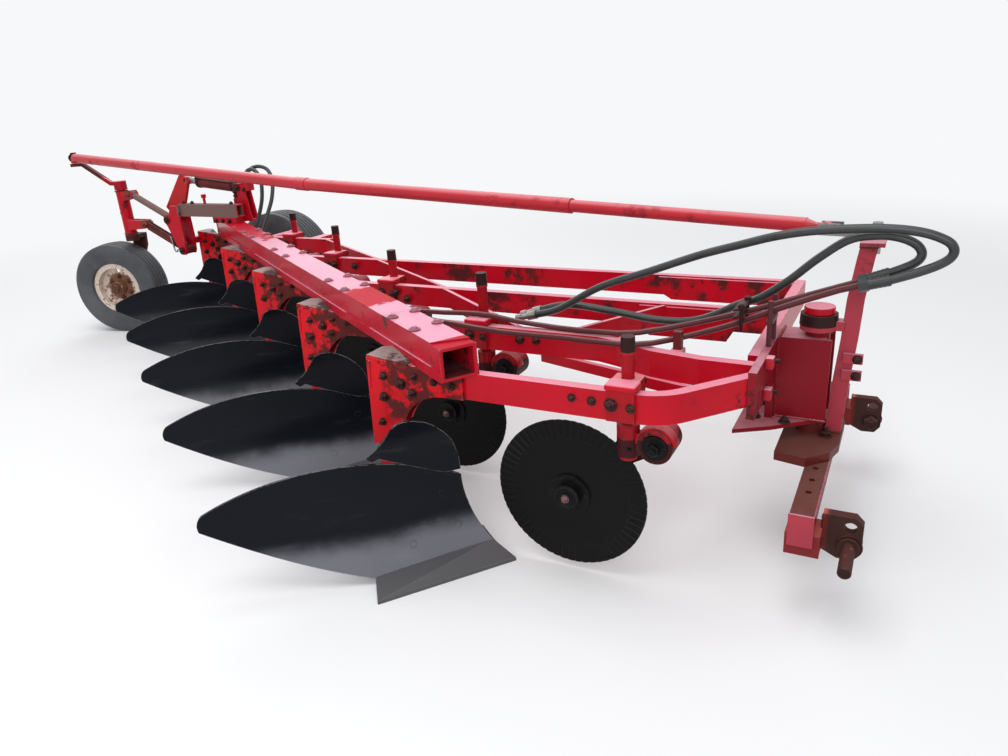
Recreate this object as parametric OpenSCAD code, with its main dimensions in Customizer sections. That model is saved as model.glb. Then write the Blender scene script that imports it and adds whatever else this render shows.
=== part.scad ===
// Five-bottom semi-mounted moldboard plough, parked with its bottoms on the ground.
// +X is the direction of travel, +Y the unploughed (left) side, +Z up.
// The origin is on the ground under the middle of the machine.

/* [Bottoms] */
// Width of ground that one bottom turns
cut_w = 457.2; // [440:1:475]
// Distance along the travel from one bottom to the next
pitch = 712; // [690:1:740]
// Radius of the curve that rolls the soil over
board_r = 430; // [410:1:460]
// Thickness of the moldboard steel
board_t = 8; // [6:0.5:10]
// Angle of the moldboard's straight lines to the direction of travel
board_a = 42; // [40:1:44]
// Length of the moldboard from shin to tail
board_len = 850; // [820:1:870]
// Radius of the moldboard's arched top edge
top_r = 928; // [900:1:960]
// Height of the highest point of the top edge
board_h = 401; // [390:1:410]
// Thickness of the share
share_t = 12; // [9:1:14]
// Length of the landside
side_len = 560; // [480:1:600]
// Height of the landside
side_h = 105; // [90:1:120]
// Thickness of the landside
side_t = 10; // [8:1:14]

/* [Frame] */
// Height of the top of the long bars above the ground
bar_top = 686; // [675:1:700]
// Depth of a long bar
bar_h = 89; // [80:1:95]
// Thickness of a long bar
bar_t = 38; // [32:1:42]
// Width of the box beam
beam_w = 120; // [110:1:130]
// Height of the box beam
beam_h = 105; // [95:1:115]
// Wall of the box beam
beam_wall = 9; // [6:0.5:12]
// Distance from the line of the standards to the middle of the beam
beam_off = 133; // [128:1:140]
// Reach of the beam in front of the first standard
beam_front = 329; // [310:1:345]
// Length of the beam
beam_len = 3588; // [3540:1:3620]
// Thickness of the cover plate on the beam
cap_t = 6; // [4:0.5:8]
// Thickness of a standard
standard_t = 25; // [20:1:28]
// Thickness of the cheek plates that clamp a standard to its bar
cheek_t = 12; // [8:1:14]

/* [Coulters] */
// Radius of a coulter disc
disc_r = 254; // [240:1:262]
// Thickness of a coulter disc
disc_t = 6; // [5:0.5:8]
// Diameter of a coulter's post
post_d = 38; // [34:1:40]
// Distance from the standard forward to the coulter post
post_x = 845; // [835:1:860]
// Height of the coulter's axle
disc_z = 280; // [272:1:300]
// Distance from the post back to the coulter's axle
disc_back = 205; // [195:1:215]

/* [Hitch] */
// Distance from the standard forward to the kingpin
king_x = 1284; // [1275:1:1295]
// Distance from the first bar to the kingpin, across
king_y = 610; // [600:1:620]
// Diameter of the kingpin
king_d = 44; // [40:1:46]
// Outer radius of the headstock tube
head_r = 38; // [36:1:39]
// Distance between the shoulders of the two lower-link pins
pin_span = 965; // [950:1:980]
// Diameter of a lower-link pin
pin_d = 36.6; // [35:0.1:37.4]
// Length of a lower-link pin outside its shoulder
pin_len = 125; // [110:1:135]
// Height of the lower-link pins
pin_z = 238; // [230:1:250]
// Height of the top of the hitch bar
hitch_top = 345; // [335:1:352]

/* [Steering] */
// Outer diameter of the rear part of the steering pipe
pipe_d = 60; // [55:1:64]
// Outer diameter of the front part of the steering pipe
pipe_front_d = 48; // [42:1:52]
// Height of the steering pipe's rear eye
pipe_rear_z = 1240; // [1225:1:1255]

/* [Tail wheel] */
// Radius of the tail tyre
tail_r = 322; // [310:1:330]
// Width of the tail tyre
tail_w = 190; // [180:1:198]
// Radius of the tail rim's flange
tail_rim_r = 176; // [168:1:182]
// Angle of the tail wheel to the travel
tail_yaw = 17.5; // [12:0.5:20]
// Distance from the kingpin back to the tail axle
tail_trail = 144; // [135:1:150]

/* [Land wheel] */
// Radius of the land tyre
land_r = 385; // [375:1:392]
// Width of the land tyre
land_w = 230; // [215:1:240]
// Radius of the land rim's flange
land_rim_r = 208; // [200:1:214]

/* [Hidden] */
$fn = 48;

// Place of the first standard in the part's own frame
home = [1204, -950, 0];
// Gap between curved faces of different bodies, and of a pin in its bore
gap = 0.3;
fit_gap = 0.05;
red = [0.72, 0.07, 0.10];
old_red = [0.42, 0.07, 0.09];
black = [0.05, 0.05, 0.06];
steel = [0.45, 0.42, 0.40];
rubber = [0.13, 0.13, 0.14];

bar_bottom = bar_top - bar_h;
bottom_count = 5;
beam_angle = atan2(cut_w, -pitch);
beam_dir = [cos(beam_angle), sin(beam_angle)];
beam_side = [sin(beam_angle), -cos(beam_angle)];

module place() {
    translate(home) children();
}

module at_bottom(k) {
    translate([-k * pitch, k * cut_w, 0]) children();
}

// Children's x runs back along the beam from the first standard and y to its right
module along_beam() {
    rotate([0, 0, beam_angle]) children();
}

// A block given by its lowest and highest corners
module block(low, high) {
    translate(low) cube(high - low);
}

// A round bar from one point to another
module rod(from, to, r, r2 = undef) {
    d = to - from;
    translate(from)
        rotate([0, acos(d[2] / norm(d)), atan2(d[1], d[0])])
        cylinder(h = norm(d), r1 = r, r2 = is_undef(r2) ? r : r2);
}

// A flat plate from an outline drawn in x and z, standing in a plane of constant y
module side_plate(y_low, y_high) {
    translate([0, y_high, 0]) rotate([90, 0, 0]) linear_extrude(y_high - y_low) children();
}

// A pin, tube or disc with its axis across the travel
module cross_pin(x, z, y_low, y_high, r) {
    translate([x, y_high, z]) rotate([90, 0, 0]) cylinder(h = y_high - y_low, r = r);
}

// Curved tubes: a smooth curve through hand-chosen points, swept as one closed skin
function curve_point(a, b, c, d, t) =
    0.5 * (2 * b + (c - a) * t + (2 * a - 5 * b + 4 * c - d) * t * t
        + (3 * b - 3 * c + d - a) * t * t * t);
function smooth_route(p, n) = [
    for (i = [0:len(p) - 2]) for (j = [0:n - 1])
        curve_point(p[max(i - 1, 0)], p[i], p[i + 1], p[min(i + 2, len(p) - 1)], j / n),
    p[len(p) - 1]];
function unit(v) = v / norm(v);
function tangent(p, i) = unit(p[min(i + 1, len(p) - 1)] - p[max(i - 1, 0)]);

module tube(route, r, ref, steps = 2, sides = 8) {
    p = smooth_route(route, steps);
    rings = [for (i = [0:len(p) - 1])
        let (t = tangent(p, i), u = unit(cross(ref, t)), v = cross(t, u))
        for (k = [0:sides - 1]) p[i] + r * (cos(k * 360 / sides) * u + sin(k * 360 / sides) * v)];
    walls = [for (i = [0:len(p) - 2]) for (k = [0:sides - 1])
        [i * sides + k, (i + 1) * sides + k, (i + 1) * sides + (k + 1) % sides,
         i * sides + (k + 1) % sides]];
    start = [for (k = [0:sides - 1]) k];
    end = [for (k = [sides - 1:-1:0]) (len(p) - 1) * sides + k];
    polyhedron(points = rings, faces = concat(walls, [start, end]));
}

// The bottoms: moldboard, share, frog and landside, cover board
//
// A moldboard is a piece of a cylinder whose straight lines run back and to the
// right. Along it, t is the distance back from the top of the shin; z is the height.
shin = [251, 19];
roll_z = 300;
shin_y = 27;
seam_front_t = -93;
seam_front_z = 60;
seam_back_t = 317;
seam_back_z = 20;
top_mid_t = 415;
low_r = 1776;
low_mid = [-123, 1743];
tail_round = 48;
tail_mid = [board_len - 55, 268];
tail_end = board_len + 40;

// The hollow face's axis lies in front of the shin's top, at the height roll_z
module in_board_axis() {
    translate([shin[0] + board_r * sin(board_a), shin[1] - board_r * cos(board_a), roll_z])
        rotate([0, 0, 180 + board_a]) children();
}

module board_cylinder(r) {
    in_board_axis() translate([-300, 0, 0]) rotate([0, 90, 0]) cylinder(h = 1500, r = r, $fn = 96);
}

// A band of the cylinder, cut to an outline drawn in t and z
module board_skin(r_low, r_high, z_low, z_high) {
    intersection() {
        difference() {
            board_cylinder(r_high);
            board_cylinder(r_low);
        }
        in_board_axis() translate([0, 0, -roll_z]) rotate([90, 0, 0])
            linear_extrude(board_r + 60) children();
        block([-1500, -1500, z_low], [1500, shin_y, z_high]);
    }
}

module board_outline() {
    difference() {
        intersection() {
            translate([top_mid_t, board_h - top_r]) circle(r = top_r, $fn = 96);
            translate(low_mid) circle(r = low_r, $fn = 96);
            polygon([[seam_front_t, seam_front_z], [seam_back_t, seam_back_z],
                [tail_end, seam_back_z], [tail_end, board_h + 20], [seam_front_t, board_h + 20]]);
        }
        difference() {
            translate([tail_mid[0] + 12, 0]) square([200, 500]);
            translate(tail_mid) circle(r = tail_round);
        }
    }
}

module moldboard(k) {
    place() color(black) at_bottom(k) board_skin(board_r, board_r + board_t, 10, board_h + 5)
        board_outline();
}

// The share bolts on below the seam and reaches down to the ground
share_point = [445, 31, 0];
share_wing = [150, -352, 0];
share_seam_front = [363, 27, 56];
share_seam_back = [78, -262, 17];

module shares() {
    place() color(black) for (k = [0:bottom_count - 1]) at_bottom(k) difference() {
        hull() for (p = [share_point, share_wing, share_seam_front, share_seam_back])
            translate([p[0], p[1], p[2]]) cylinder(h = share_t, r1 = 3, r2 = 1, $fn = 8);
        board_seat();
    }
}

// Room for the moldboard's lower edge in the share
module board_seat() {
    board_skin(board_r - gap, board_r + board_t + gap, 5, 120)
        polygon([[seam_front_t - 10, seam_front_z], [seam_back_t, seam_back_z],
            [tail_end, seam_back_z], [tail_end, 130], [seam_front_t - 10, 130]]);
}

// The frog is the casting behind the moldboard: it holds board, share, landside and standard
frog_top = 250;
frog_low = 32;
frog_y = 26;
slot_low = 130;
stay_r = 11;

module frogs() {
    place() color(black) for (k = [0:bottom_count - 1]) at_bottom(k) {
        difference() {
            union() {
                translate([0, 0, frog_low]) linear_extrude(frog_top - frog_low)
                    polygon([[430, frog_y], [-70, frog_y], [-70, -30], [60, -150], [330, -60]]);
                block([-250 + 560 - side_len, frog_y, 2], [400, frog_y + side_t, 2 + side_h]);
                rod([-60, -10, 90], [-290, -372, 268], stay_r);
            }
            board_cylinder(board_r + board_t);
            block([-80, -standard_t / 2, slot_low], [leg_front, standard_t / 2, frog_top + 10]);
            share_room();
        }
    }
}

// Space under and in front of the frog that the share fills
module share_room() {
    hull() for (p = [share_point, share_wing, share_seam_front, share_seam_back])
        translate([p[0], p[1], p[2] - 1]) cylinder(h = share_t + 1.3, r = 3.3, $fn = 8);
}

// The cover board turns trash down ahead of the moldboard's top edge
strap_t = 12;
cover_t = 8;

module cover_boards() {
    place() color(black) for (k = [0:bottom_count - 1]) at_bottom(k) {
        board_skin(board_r - cover_t, board_r - gap, 280, 575) polygon([
            [-10, 322], [-6, 380], [14, 444], [40, 484], [70, 516], [106, 543], [140, 558],
            [172, 559], [200, 545], [220, 512], [238, 480], [258, 456], [296, 422],
            [276, 404], [254, 414], [232, 402], [170, 372], [90, 336], [40, 318]]);
        difference() {
            block([40, -standard_t / 2 - strap_t, 400], [300, -standard_t / 2, 436]);
            board_cylinder(board_r - 4);
        }
    }
}

// The standards: a shank that carries the frog, cheek plates on the bar, and a top gusset
leg_back = -46;
leg_front = 68;
arch = [257, 411];
arch_r = bar_bottom - arch[1];
ear = [-34, 706];

module standard(k) {
    place() color(red) at_bottom(k) difference() {
        union() {
            side_plate(-standard_t / 2, standard_t / 2)
                polygon([[leg_back, slot_low], [leg_front, slot_low], [leg_front, bar_bottom],
                    [leg_back + 12, bar_bottom]]);
            side_plate(bar_t / 2, bar_t / 2 + cheek_t) cheek_outline(60);
            side_plate(-bar_t / 2 - cheek_t, -bar_t / 2) cheek_outline(cheek_front);
            gusset();
            block([leg_back + 12, -bar_t / 2, bar_bottom], [bar_rear - 1, bar_t / 2, bar_top]);
            block([leg_back + 6, -bar_t / 2, bar_bottom - 60], [leg_front, bar_t / 2, bar_bottom]);
        }
        cross_pin(arch[0], arch[1], -60, 60, arch_r);
    }
}

// The long bar's rear end
bar_rear = 20;

// The cheeks' top edges slope down from the ear to the bar
cheek_front = 130;
cheek_slope = 0.1087;
gusset_t = 6;

module cheek_outline(front) {
    difference() {
        polygon([ear, [front, ear[1] - (front - ear[0]) * cheek_slope], [front, bar_top],
            [330, bar_top], [330, bar_bottom], [arch[0], bar_bottom], [leg_front, 470],
            [-1, 404], [leg_back, 385]]);
        translate(arch) circle(r = arch_r);
    }
}

// Gusset plate on the cheeks, cut along the foot of the beam
module gusset() {
    right = -bar_t / 2 - cheek_t + 2;
    run = cheek_front - 2 - ear[0];
    translate([ear[0], 0, ear[1] - 2]) rotate([0, atan(cheek_slope), 0])
        linear_extrude(gusset_t + 2) intersection() {
            polygon([[0, right], [run, right], [run, 200], [0, 60]]);
            translate([-ear[0], 0]) rotate(beam_angle) translate([-600, -beam_off + 0.5])
                translate([0, beam_w / 2 + strip_t]) square([1200, 400]);
        }
}

// The frame: box beam, cover plate, long bars, braces and headstock
module main_beam() {
    place() color(red) along_beam() {
        difference() {
            translate([-beam_front, -beam_off - beam_w / 2, bar_top])
                cube([beam_len, beam_w, beam_h]);
            translate([-beam_front - 1, -beam_off - beam_w / 2 + beam_wall, bar_top + beam_wall])
                cube([beam_len - 20, beam_w - 2 * beam_wall, beam_h - 2 * beam_wall]);
        }
        for (side = [-1, 1])
            translate([-beam_front, -beam_off + side * (beam_w / 2 + strip_t / 2) - strip_t / 2,
                bar_top])
                cube([beam_len, strip_t, strip_h]);
    }
}

// Doubler strip along the foot of the beam's sides
strip_t = 6;
strip_h = 34;
cap_back = 70;
cap_skew = 34;
beam_top = bar_top + beam_h;

module beam_cap() {
    place() color(red) along_beam() translate([0, 0, beam_top]) linear_extrude(cap_t)
        polygon([[-beam_front + cap_back, -beam_off + beam_w / 2],
            [-beam_front + cap_back - cap_skew, -beam_off - beam_w / 2],
            [-beam_front + beam_len, -beam_off - beam_w / 2],
            [-beam_front + beam_len, -beam_off + beam_w / 2]]);
}

// Straight stretch of a bar on edge, from its rear end to x_end
module straight_bar(x_end) {
    block([bar_rear, -bar_t / 2, bar_bottom], [x_end, bar_t / 2, bar_top]);
}

bend_x = 885;
bend_r = 150;
bend_a = 50;

// The first bar bends towards the headstock and is cut square where it meets the cross plate
function bend_point(r, a) = [bend_x + r * sin(a), bend_r - r * cos(a)];
function bend_end(r) = bend_point(r, bend_a)
    + (plate_x - bend_point(r, bend_a)[0]) * [1, tan(bend_a)];

module bar_1() {
    outer = bend_r + bar_t / 2;
    inner = bend_r - bar_t / 2;
    place() color(red) translate([0, 0, bar_bottom]) linear_extrude(bar_h) polygon(concat(
        [[bar_rear, -bar_t / 2]],
        [for (a = [0:bend_a / 20:bend_a]) bend_point(outer, a)],
        [bend_end(outer), bend_end(inner)],
        [for (a = [bend_a:-bend_a / 20:0]) bend_point(inner, a)],
        [[bar_rear, bar_t / 2]]));
}

// Left face of the second bar's sloping stretch, where the stand's sleeve sits
function bar_2_face(x) = 388 - (x - 820) * (388 - 354) / 160;

// The second bar steps over to the headstock's cross plate
module bar_2() {
    place() color(red) at_bottom(1) {
        straight_bar(600 + pitch);
        translate([600 + pitch, -cut_w, bar_bottom]) linear_extrude(bar_h)
            polygon([[0, cut_w + bar_t / 2], [0, cut_w - bar_t / 2], [75, 431 - 19], [212, 350],
                [376, 316], [plate_x - 600, 310], [plate_x - 600, 348], [380, 354],
                [220, 388], [82, 450]]);
    }
}

plate_x = 1148;
plate_t = 24;
cross_t = 40;
cross_x = plate_x - cross_t;
cross_y = [400, 3 * cut_w + bar_t / 2];
splice = [600, 970];
splice_t = 12;

module bar_3() {
    place() color(red) at_bottom(2) {
        straight_bar(cross_x + 2 * pitch);
        translate([2 * pitch, 0, 0]) side_plate(-bar_t / 2 - splice_t, -bar_t / 2)
            polygon([[splice[0], bar_bottom + 12], [splice[0] + 40, bar_bottom - 38],
                [splice[1] - 30, bar_bottom - 38], [splice[1], bar_bottom + 12],
                [splice[1], bar_top - 8], [splice[0], bar_top - 8]]);
    }
}

module bar_4() {
    place() color(red) at_bottom(3) {
        straight_bar(700 + 3 * pitch);
        translate([3 * pitch, 0, 0]) side_plate(-bar_t / 2 - 16, -bar_t / 2)
            polygon([[540, bar_top - 6], [540, bar_bottom + 20], [600, bar_bottom - 16],
                [cross_x, bar_bottom - 16], [cross_x, bar_top - 6]]);
        translate([3 * pitch, 0, 0])
            block([700, -bar_t / 2, bar_bottom - 10], [cross_x, bar_t / 2, bar_top]);
    }
}

module bar_5() {
    place() color(red) at_bottom(4) straight_bar(4 * pitch - 1722);
}

// A brace is a flat on edge from one point of the plan to another, with its ends cut along x
module brace(from, to, z_low, z_high, t) {
    d = to - from;
    half = [abs(t / 2 * norm(d) / d[1]), 0];
    translate([0, 0, z_low]) linear_extrude(z_high - z_low)
        polygon([from - half, from + half, to + half, to - half]);
}

brace_h = 76;
brace_t = 16;

// Braces run from bar to bar: columns are from bar, its x, to bar, its x, and the thickness of
// the plate that a brace ends on
brace_table = [[4, -1740, 3, -1040, 0], [3, -1000, 2, -330, 0], [2, -300, 1, 280, 0],
    [1, 470, 2, 700, splice_t]];

module cross_braces() {
    half = bar_t / 2 + 0.2;
    place() color(red) {
        for (b = brace_table) {
            up = b[2] > b[0] ? 1 : -1;
            brace([b[1], b[0] * cut_w + up * half], [b[3], b[2] * cut_w - up * (half + b[4])],
                bar_top - brace_h, bar_top - 0.5, brace_t);
        }
        block([cross_x, cross_y[0], bar_bottom - 16], [plate_x, cross_y[1], bar_top]);
        stand_sleeve();
        brace([400, 470], [960, 305], bar_bottom - 37, bar_bottom - 0.2, 20);
    }
}

// The headstock: tube for the kingpin, cheeks, cross plate for the bars and a foot plate
head_low = 430;
head_top = 705;
cross_low = 560;
cheek_x = 1333;
// Distance from the kingpin sideways to the middle of a cheek
cheek_off = 54;
foot_t = 14;

module headstock() {
    place() color(old_red) difference() {
        union() {
            translate([king_x, king_y, head_low - foot_t])
                cylinder(h = head_top + 14 + foot_t - head_low, r = head_r);
            for (side = [-1, 1])
                block([plate_x + plate_t, king_y + side * cheek_off - 6, head_low],
                    [cheek_x, king_y + side * cheek_off + 6, head_top]);
            block([plate_x, 196, cross_low],
                [plate_x + plate_t, king_y + cheek_off + 6, head_top]);
            block([plate_x, king_y - cheek_off - 30, head_low],
                [plate_x + plate_t, king_y + cheek_off + 6, cross_low]);
            translate([0, 0, head_low - foot_t]) linear_extrude(foot_t) polygon([
                [1072, king_y - 215], [1180, king_y - 150], [1290, king_y - cheek_off - 6],
                [cheek_x - 30, king_y - cheek_off], [king_x + 28, king_y - 30],
                [king_x + 28, king_y + 30], [cheek_x - 30, king_y + cheek_off],
                [1290, king_y + cheek_off + 6], [1180, king_y + 110], [1072, king_y + 90]]);
            translate([0, 0, head_top - 10]) linear_extrude(10) polygon([
                [plate_x + plate_t, king_y - cheek_off], [cheek_x - 2, king_y - cheek_off],
                [king_x + 28, king_y - 30], [king_x + 28, king_y + 30],
                [cheek_x - 2, king_y + cheek_off], [plate_x + plate_t, king_y + cheek_off]]);
        }
        translate([king_x, king_y, head_low - 20]) cylinder(h = 400, r = king_d / 2 + fit_gap);
    }
}

// The coulters: post clamped to its bar, swivel arm below, disc on the arm's axle
post_y = bar_t / 2 + post_d / 2 + 2;
collar_r = 34;
collar_z = [470, 570];
// Stop ring under the swivel's collar, at the post's lower end
stop_t = 12;
post_low = collar_z[0] - gap - stop_t;
arm_y = [post_y + 62, post_y + 82];
disc_y = post_y + 30;
disc_x = post_x - disc_back;
// Each post is clamped a little off the even spacing: distance forward, and height of its top
post_set = [[0, 835], [-12, 872], [-38, 835], [-32, 850], [-48, 835]];

module coulter_posts() {
    place() color(red) for (k = [0:bottom_count - 1]) at_post(k) {
        translate([post_x, post_y, post_low])
            cylinder(h = post_set[k][1] - post_low, r = post_d / 2);
        block([post_x - 42, bar_t / 2, bar_bottom + 4], [post_x + 42, post_y + 30, bar_top + 25]);
        block([post_x - 42, -bar_t / 2 - 14, bar_bottom + 4],
            [post_x + 42, -bar_t / 2, bar_top + 25]);
        block([post_x - 42, -bar_t / 2, bar_top], [post_x + 42, bar_t / 2, bar_top + 25]);
        translate([post_x, post_y, post_low]) cylinder(h = stop_t, r = collar_r - 8);
    }
}

module at_post(k) {
    at_bottom(k) translate([post_set[k][0], 0, 0]) children();
}

module coulter_arm(k) {
    place() color(black) at_post(k) difference() {
        union() {
            translate([post_x, post_y, collar_z[0]])
                cylinder(h = collar_z[1] - collar_z[0], r = collar_r);
            cross_pin(post_x + 86, 512, post_y - 22, arm_y[1], 52);
            block([post_x + 10, post_y - 18, 480], [post_x + 86, post_y + 18, 545]);
            side_plate(arm_y[0], arm_y[1]) polygon([[post_x + 105, 500], [post_x + 60, 540],
                [post_x - 60, 470], [disc_x - 24, disc_z + 22], [disc_x - 10, disc_z - 34],
                [disc_x + 26, disc_z - 22], [post_x - 20, 400], [post_x + 90, 462]]);
            cross_pin(disc_x, disc_z, disc_y - 40, arm_y[0] + 1, 15);
        }
        translate([post_x, post_y, 400]) cylinder(h = 300, r = post_d / 2 + gap);
    }
}

// The disc's rim is rippled: shallow flutes on one side lie between those on the other
flute_count = 60;
flute_r = 9;
flute_len = 54;
flute_depth = 2.2;

module flutes() {
    for (side = [-1, 1]) for (i = [0:flute_count - 1])
        rotate([0, (i + side / 4) * 360 / flute_count, 0])
            translate([disc_r - flute_len, side * (disc_t / 2 + flute_r - flute_depth), 0])
            rotate([0, 90, 0]) cylinder(h = flute_len + 10, r = flute_r, $fn = 24);
}

module coulter_disc(k) {
    place() color(black) at_post(k) difference() {
        union() {
            cross_pin(disc_x, disc_z, disc_y - disc_t / 2, disc_y + disc_t / 2, disc_r);
            cross_pin(disc_x, disc_z, disc_y - 34, disc_y + 28, 42);
            cross_pin(disc_x, disc_z, disc_y - 12, disc_y + 12, 68);
        }
        cross_pin(disc_x, disc_z, disc_y - 39, disc_y + 60, 15 + fit_gap);
        translate([disc_x, disc_y, disc_z]) flutes();
    }
}

// The hitch: bar with lower-link pins, tapered plate to the kingpin, mast and steering arm
hitch_x = [1300, 1365];
hitch_low = 285;
bar_half = 530;
taper_t = 30;

module hitch_bar() {
    place() color(old_red) {
        difference() {
            block([hitch_x[0], king_y - bar_half, hitch_low], [hitch_x[1], king_y + bar_half, hitch_top]);
            block([hitch_x[0] + 8, king_y - bar_half - 1, hitch_low + 8],
                [hitch_x[1] - 8, king_y + bar_half + 1, hitch_top - 8]);
            for (side = [-1, 1]) for (i = [0:2])
                translate([(hitch_x[0] + hitch_x[1]) / 2, king_y + side * (230 + i * 80), hitch_low - 1])
                    cylinder(h = 100, r = 9);
        }
        difference() {
            union() {
                translate([0, 0, hitch_top]) linear_extrude(taper_t) polygon([
                    [hitch_x[1], king_y - 165], [hitch_x[1] + 20, king_y - 90],
                    [hitch_x[1] + 20, king_y + 90], [hitch_x[1], king_y + 165],
                    [hitch_x[0], king_y + 165], [1205, king_y + 110],
                    [1205, king_y - 215], [hitch_x[0], king_y - 235]]);
                translate([king_x, king_y, hitch_top]) cylinder(h = head_low - 17 - hitch_top, r = 44);
            }
            translate([king_x, king_y, hitch_top - 1]) cylinder(h = 100, r = king_d / 2 + fit_gap);
        }
    }
}

pin_x = 1457;
shoulder = pin_span / 2;
lug_t = 32;
lug_top = 330;
collar_t = 12;
// Height of the lug's spare hole above its pin
spare_up = 58;

// Blocks under the bar's ends carry the lugs; each lug has its pin and a spare hole above
module pin_brackets() {
    place() color(old_red) translate([0, king_y, 0]) for (side = [-1, 1]) scale([1, side, 1]) {
        block([hitch_x[0] - 9, shoulder - collar_t - lug_t - 10, hitch_low - 69],
            [hitch_x[1] + 20, bar_half, hitch_low]);
        difference() {
            side_plate(shoulder - collar_t - lug_t, shoulder - collar_t) polygon([
                [hitch_x[1] + 18, hitch_low - 69], [pin_x - 30, pin_z - 44],
                [pin_x + 14, pin_z - 42], [pin_x + 33, pin_z - 18],
                [pin_x + 33, lug_top - 22], [pin_x + 12, lug_top],
                [hitch_x[1] + 18, lug_top]]);
            cross_pin(pin_x, pin_z + spare_up, 400, 600, pin_d / 2);
        }
        cross_pin(pin_x, pin_z, shoulder - collar_t, shoulder, 30);
        cross_pin(pin_x, pin_z, shoulder - collar_t - lug_t, shoulder + pin_len, pin_d / 2);
    }
}

// The mast's rear edge leans forward with height: rows are x and z
mast_edge = [[1331, 375], [1341, 560], [1353, 695], [1360, 828], [1376, 953], [1382, 992]];
mast_w = 50;
mast_t = 24;
arm_top = 1004;
steer = [1420, 700];

module mast() {
    rows = len(mast_edge) - 1;
    place() color(old_red) {
        side_plate(king_y - mast_t / 2, king_y + mast_t / 2) polygon(concat(mast_edge,
            [for (i = [rows:-1:0]) mast_edge[i] + [mast_w, 0]]));
        difference() {
            block([1380, king_y - mast_t / 2, 992], [1450, steer[1] + 32, arm_top]);
            translate([steer[0], steer[1], 900]) cylinder(h = 200, r = 15 + fit_gap);
        }
        translate([king_x, king_y, hitch_top]) cylinder(h = 795 - hitch_top, r = king_d / 2);
        difference() {
            union() {
                translate([king_x, king_y, head_top + 20]) cylinder(h = 50, r = 56);
                block([king_x, king_y - 22, head_top + 22], [1362, king_y + 22, head_top + 52]);
            }
            translate([king_x, king_y, 600]) cylinder(h = 300, r = king_d / 2);
        }
        for (z = [584, 640]) side_plate(king_y - mast_t / 2 - 14, king_y - mast_t / 2)
            polygon([[1366, z - 16], [1424, z - 16], [1424, z + 16], [1366, z + 16]]);
    }
}

// The steering pipe runs from the hitch's arm to the tail wheel's lever
tail_king = [-3447, 1700];
lever_end = [-3656, 1550];
strap_h = 18;
// Depth of the lever's top below the pipe's middle, and the play between it and the pipe's eye
lever_drop = pipe_d / 2 + 7;
eye_gap = 3;
pipe_from = [steer[0], steer[1], arm_top + gap + strap_h / 2];
pipe_to = [lever_end[0], lever_end[1], pipe_rear_z];
pipe_run = pipe_to - pipe_from;

// The pipe is bent a little at its joint, this share of the way to the rear
knee = 0.53;
// Share of the way back at which the thinner front part enters the thicker part
step_at = 0.215;
knee_z = 1112;
function pipe_at(f) = let (p = pipe_from + f * pipe_run)
    [p[0], p[1], f < knee ? pipe_from[2] + 10 + (knee_z - pipe_from[2] - 10) * f / knee
        : knee_z + (pipe_to[2] - knee_z) * (f - knee) / (1 - knee)];

// Hinge between clevis and pipe, which lets the pipe's rear end rise and fall
hinge_f = 0.0292;
neck_f = [0.036, 0.042];
neck_r = 12;
// Share of the pipe by which one stretch runs into the next
lap_f = 0.0006;
hinge_r = 9;
pipe_yaw = atan2(pipe_run[1], pipe_run[0]);

// Children's x runs back along the pipe from the front eye
module along_pipe(p) {
    translate(p) rotate([0, 0, pipe_yaw]) children();
}

// The clevis turns on the hitch's arm and carries the pipe's hinge pin
module pipe_clevis() {
    place() color(steel) {
        along_pipe(pipe_from) {
            translate([-34, -26, -strap_h / 2]) cube([164, 52, strap_h]);
            for (y = [-26, 16]) translate([104, y, -strap_h / 2]) cube([66, 10, 38]);
        }
        translate(pipe_from - [0, 0, 60]) cylinder(h = 82, r = 15);
        along_pipe(pipe_at(hinge_f)) rotate([90, 0, 0]) translate([0, 0, -29])
            cylinder(h = 58, r = hinge_r);
    }
}

module steering_pipe() {
    place() color(red) {
        difference() {
            union() {
                rod(pipe_at(hinge_f), pipe_at(neck_f[0] + lap_f), neck_r);
                along_pipe(pipe_at(hinge_f)) rotate([90, 0, 0]) translate([0, 0, -15.7])
                    cylinder(h = 31.4, r = 16);
            }
            along_pipe(pipe_at(hinge_f)) rotate([90, 0, 0]) translate([0, 0, -40])
                cylinder(h = 80, r = hinge_r + fit_gap);
        }
        rod(pipe_at(neck_f[0]), pipe_at(neck_f[1]), neck_r + 1, pipe_front_d / 2 - 1);
        rod(pipe_at(neck_f[1] - lap_f), pipe_at(step_at + lap_f), pipe_front_d / 2);
        rod(pipe_at(step_at), pipe_at(knee - 0.001), pipe_d / 2);
        rod(pipe_at(knee + 0.001), pipe_at(0.997), pipe_d / 2);
        rod(pipe_at(knee - 0.008), pipe_at(knee + 0.008), pipe_d / 2 + 3);
        translate([lever_end[0], lever_end[1], pipe_rear_z - lever_drop + eye_gap])
            cylinder(h = lever_drop - eye_gap + 4, r = 26);
    }
}

// The tail lift: two links, the head they carry, and the cylinder that works the upper link
link_upper = [-2980, 810];
link_lower = [-2890, 605];
link_run = [-365, 165];
link_y = 1700;
pin_r = 14;
head_upper = link_upper + link_run;
head_lower = link_lower + link_run;
lift_y = 1762;
lift_eye = [-2845, 1057];
lift_base = [-2385, 1011];
hub_w = 34;
hub_r = 30;
// The bellcrank plate stands clear of the cylinder's rod beside it
crank_y = [lift_y - 14, lift_y + 6];
// Where the upper link's tube ends before the tail head's cheeks
tube_end = 38;
function on_link(s) = [link_upper[0] + s * link_run[0] / norm(link_run), link_y,
    link_upper[1] + s * link_run[1] / norm(link_run)];

module link_hub(p, y_low, y_high, r) {
    cross_pin(p[0], p[1], y_low, y_high, r);
}

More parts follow.
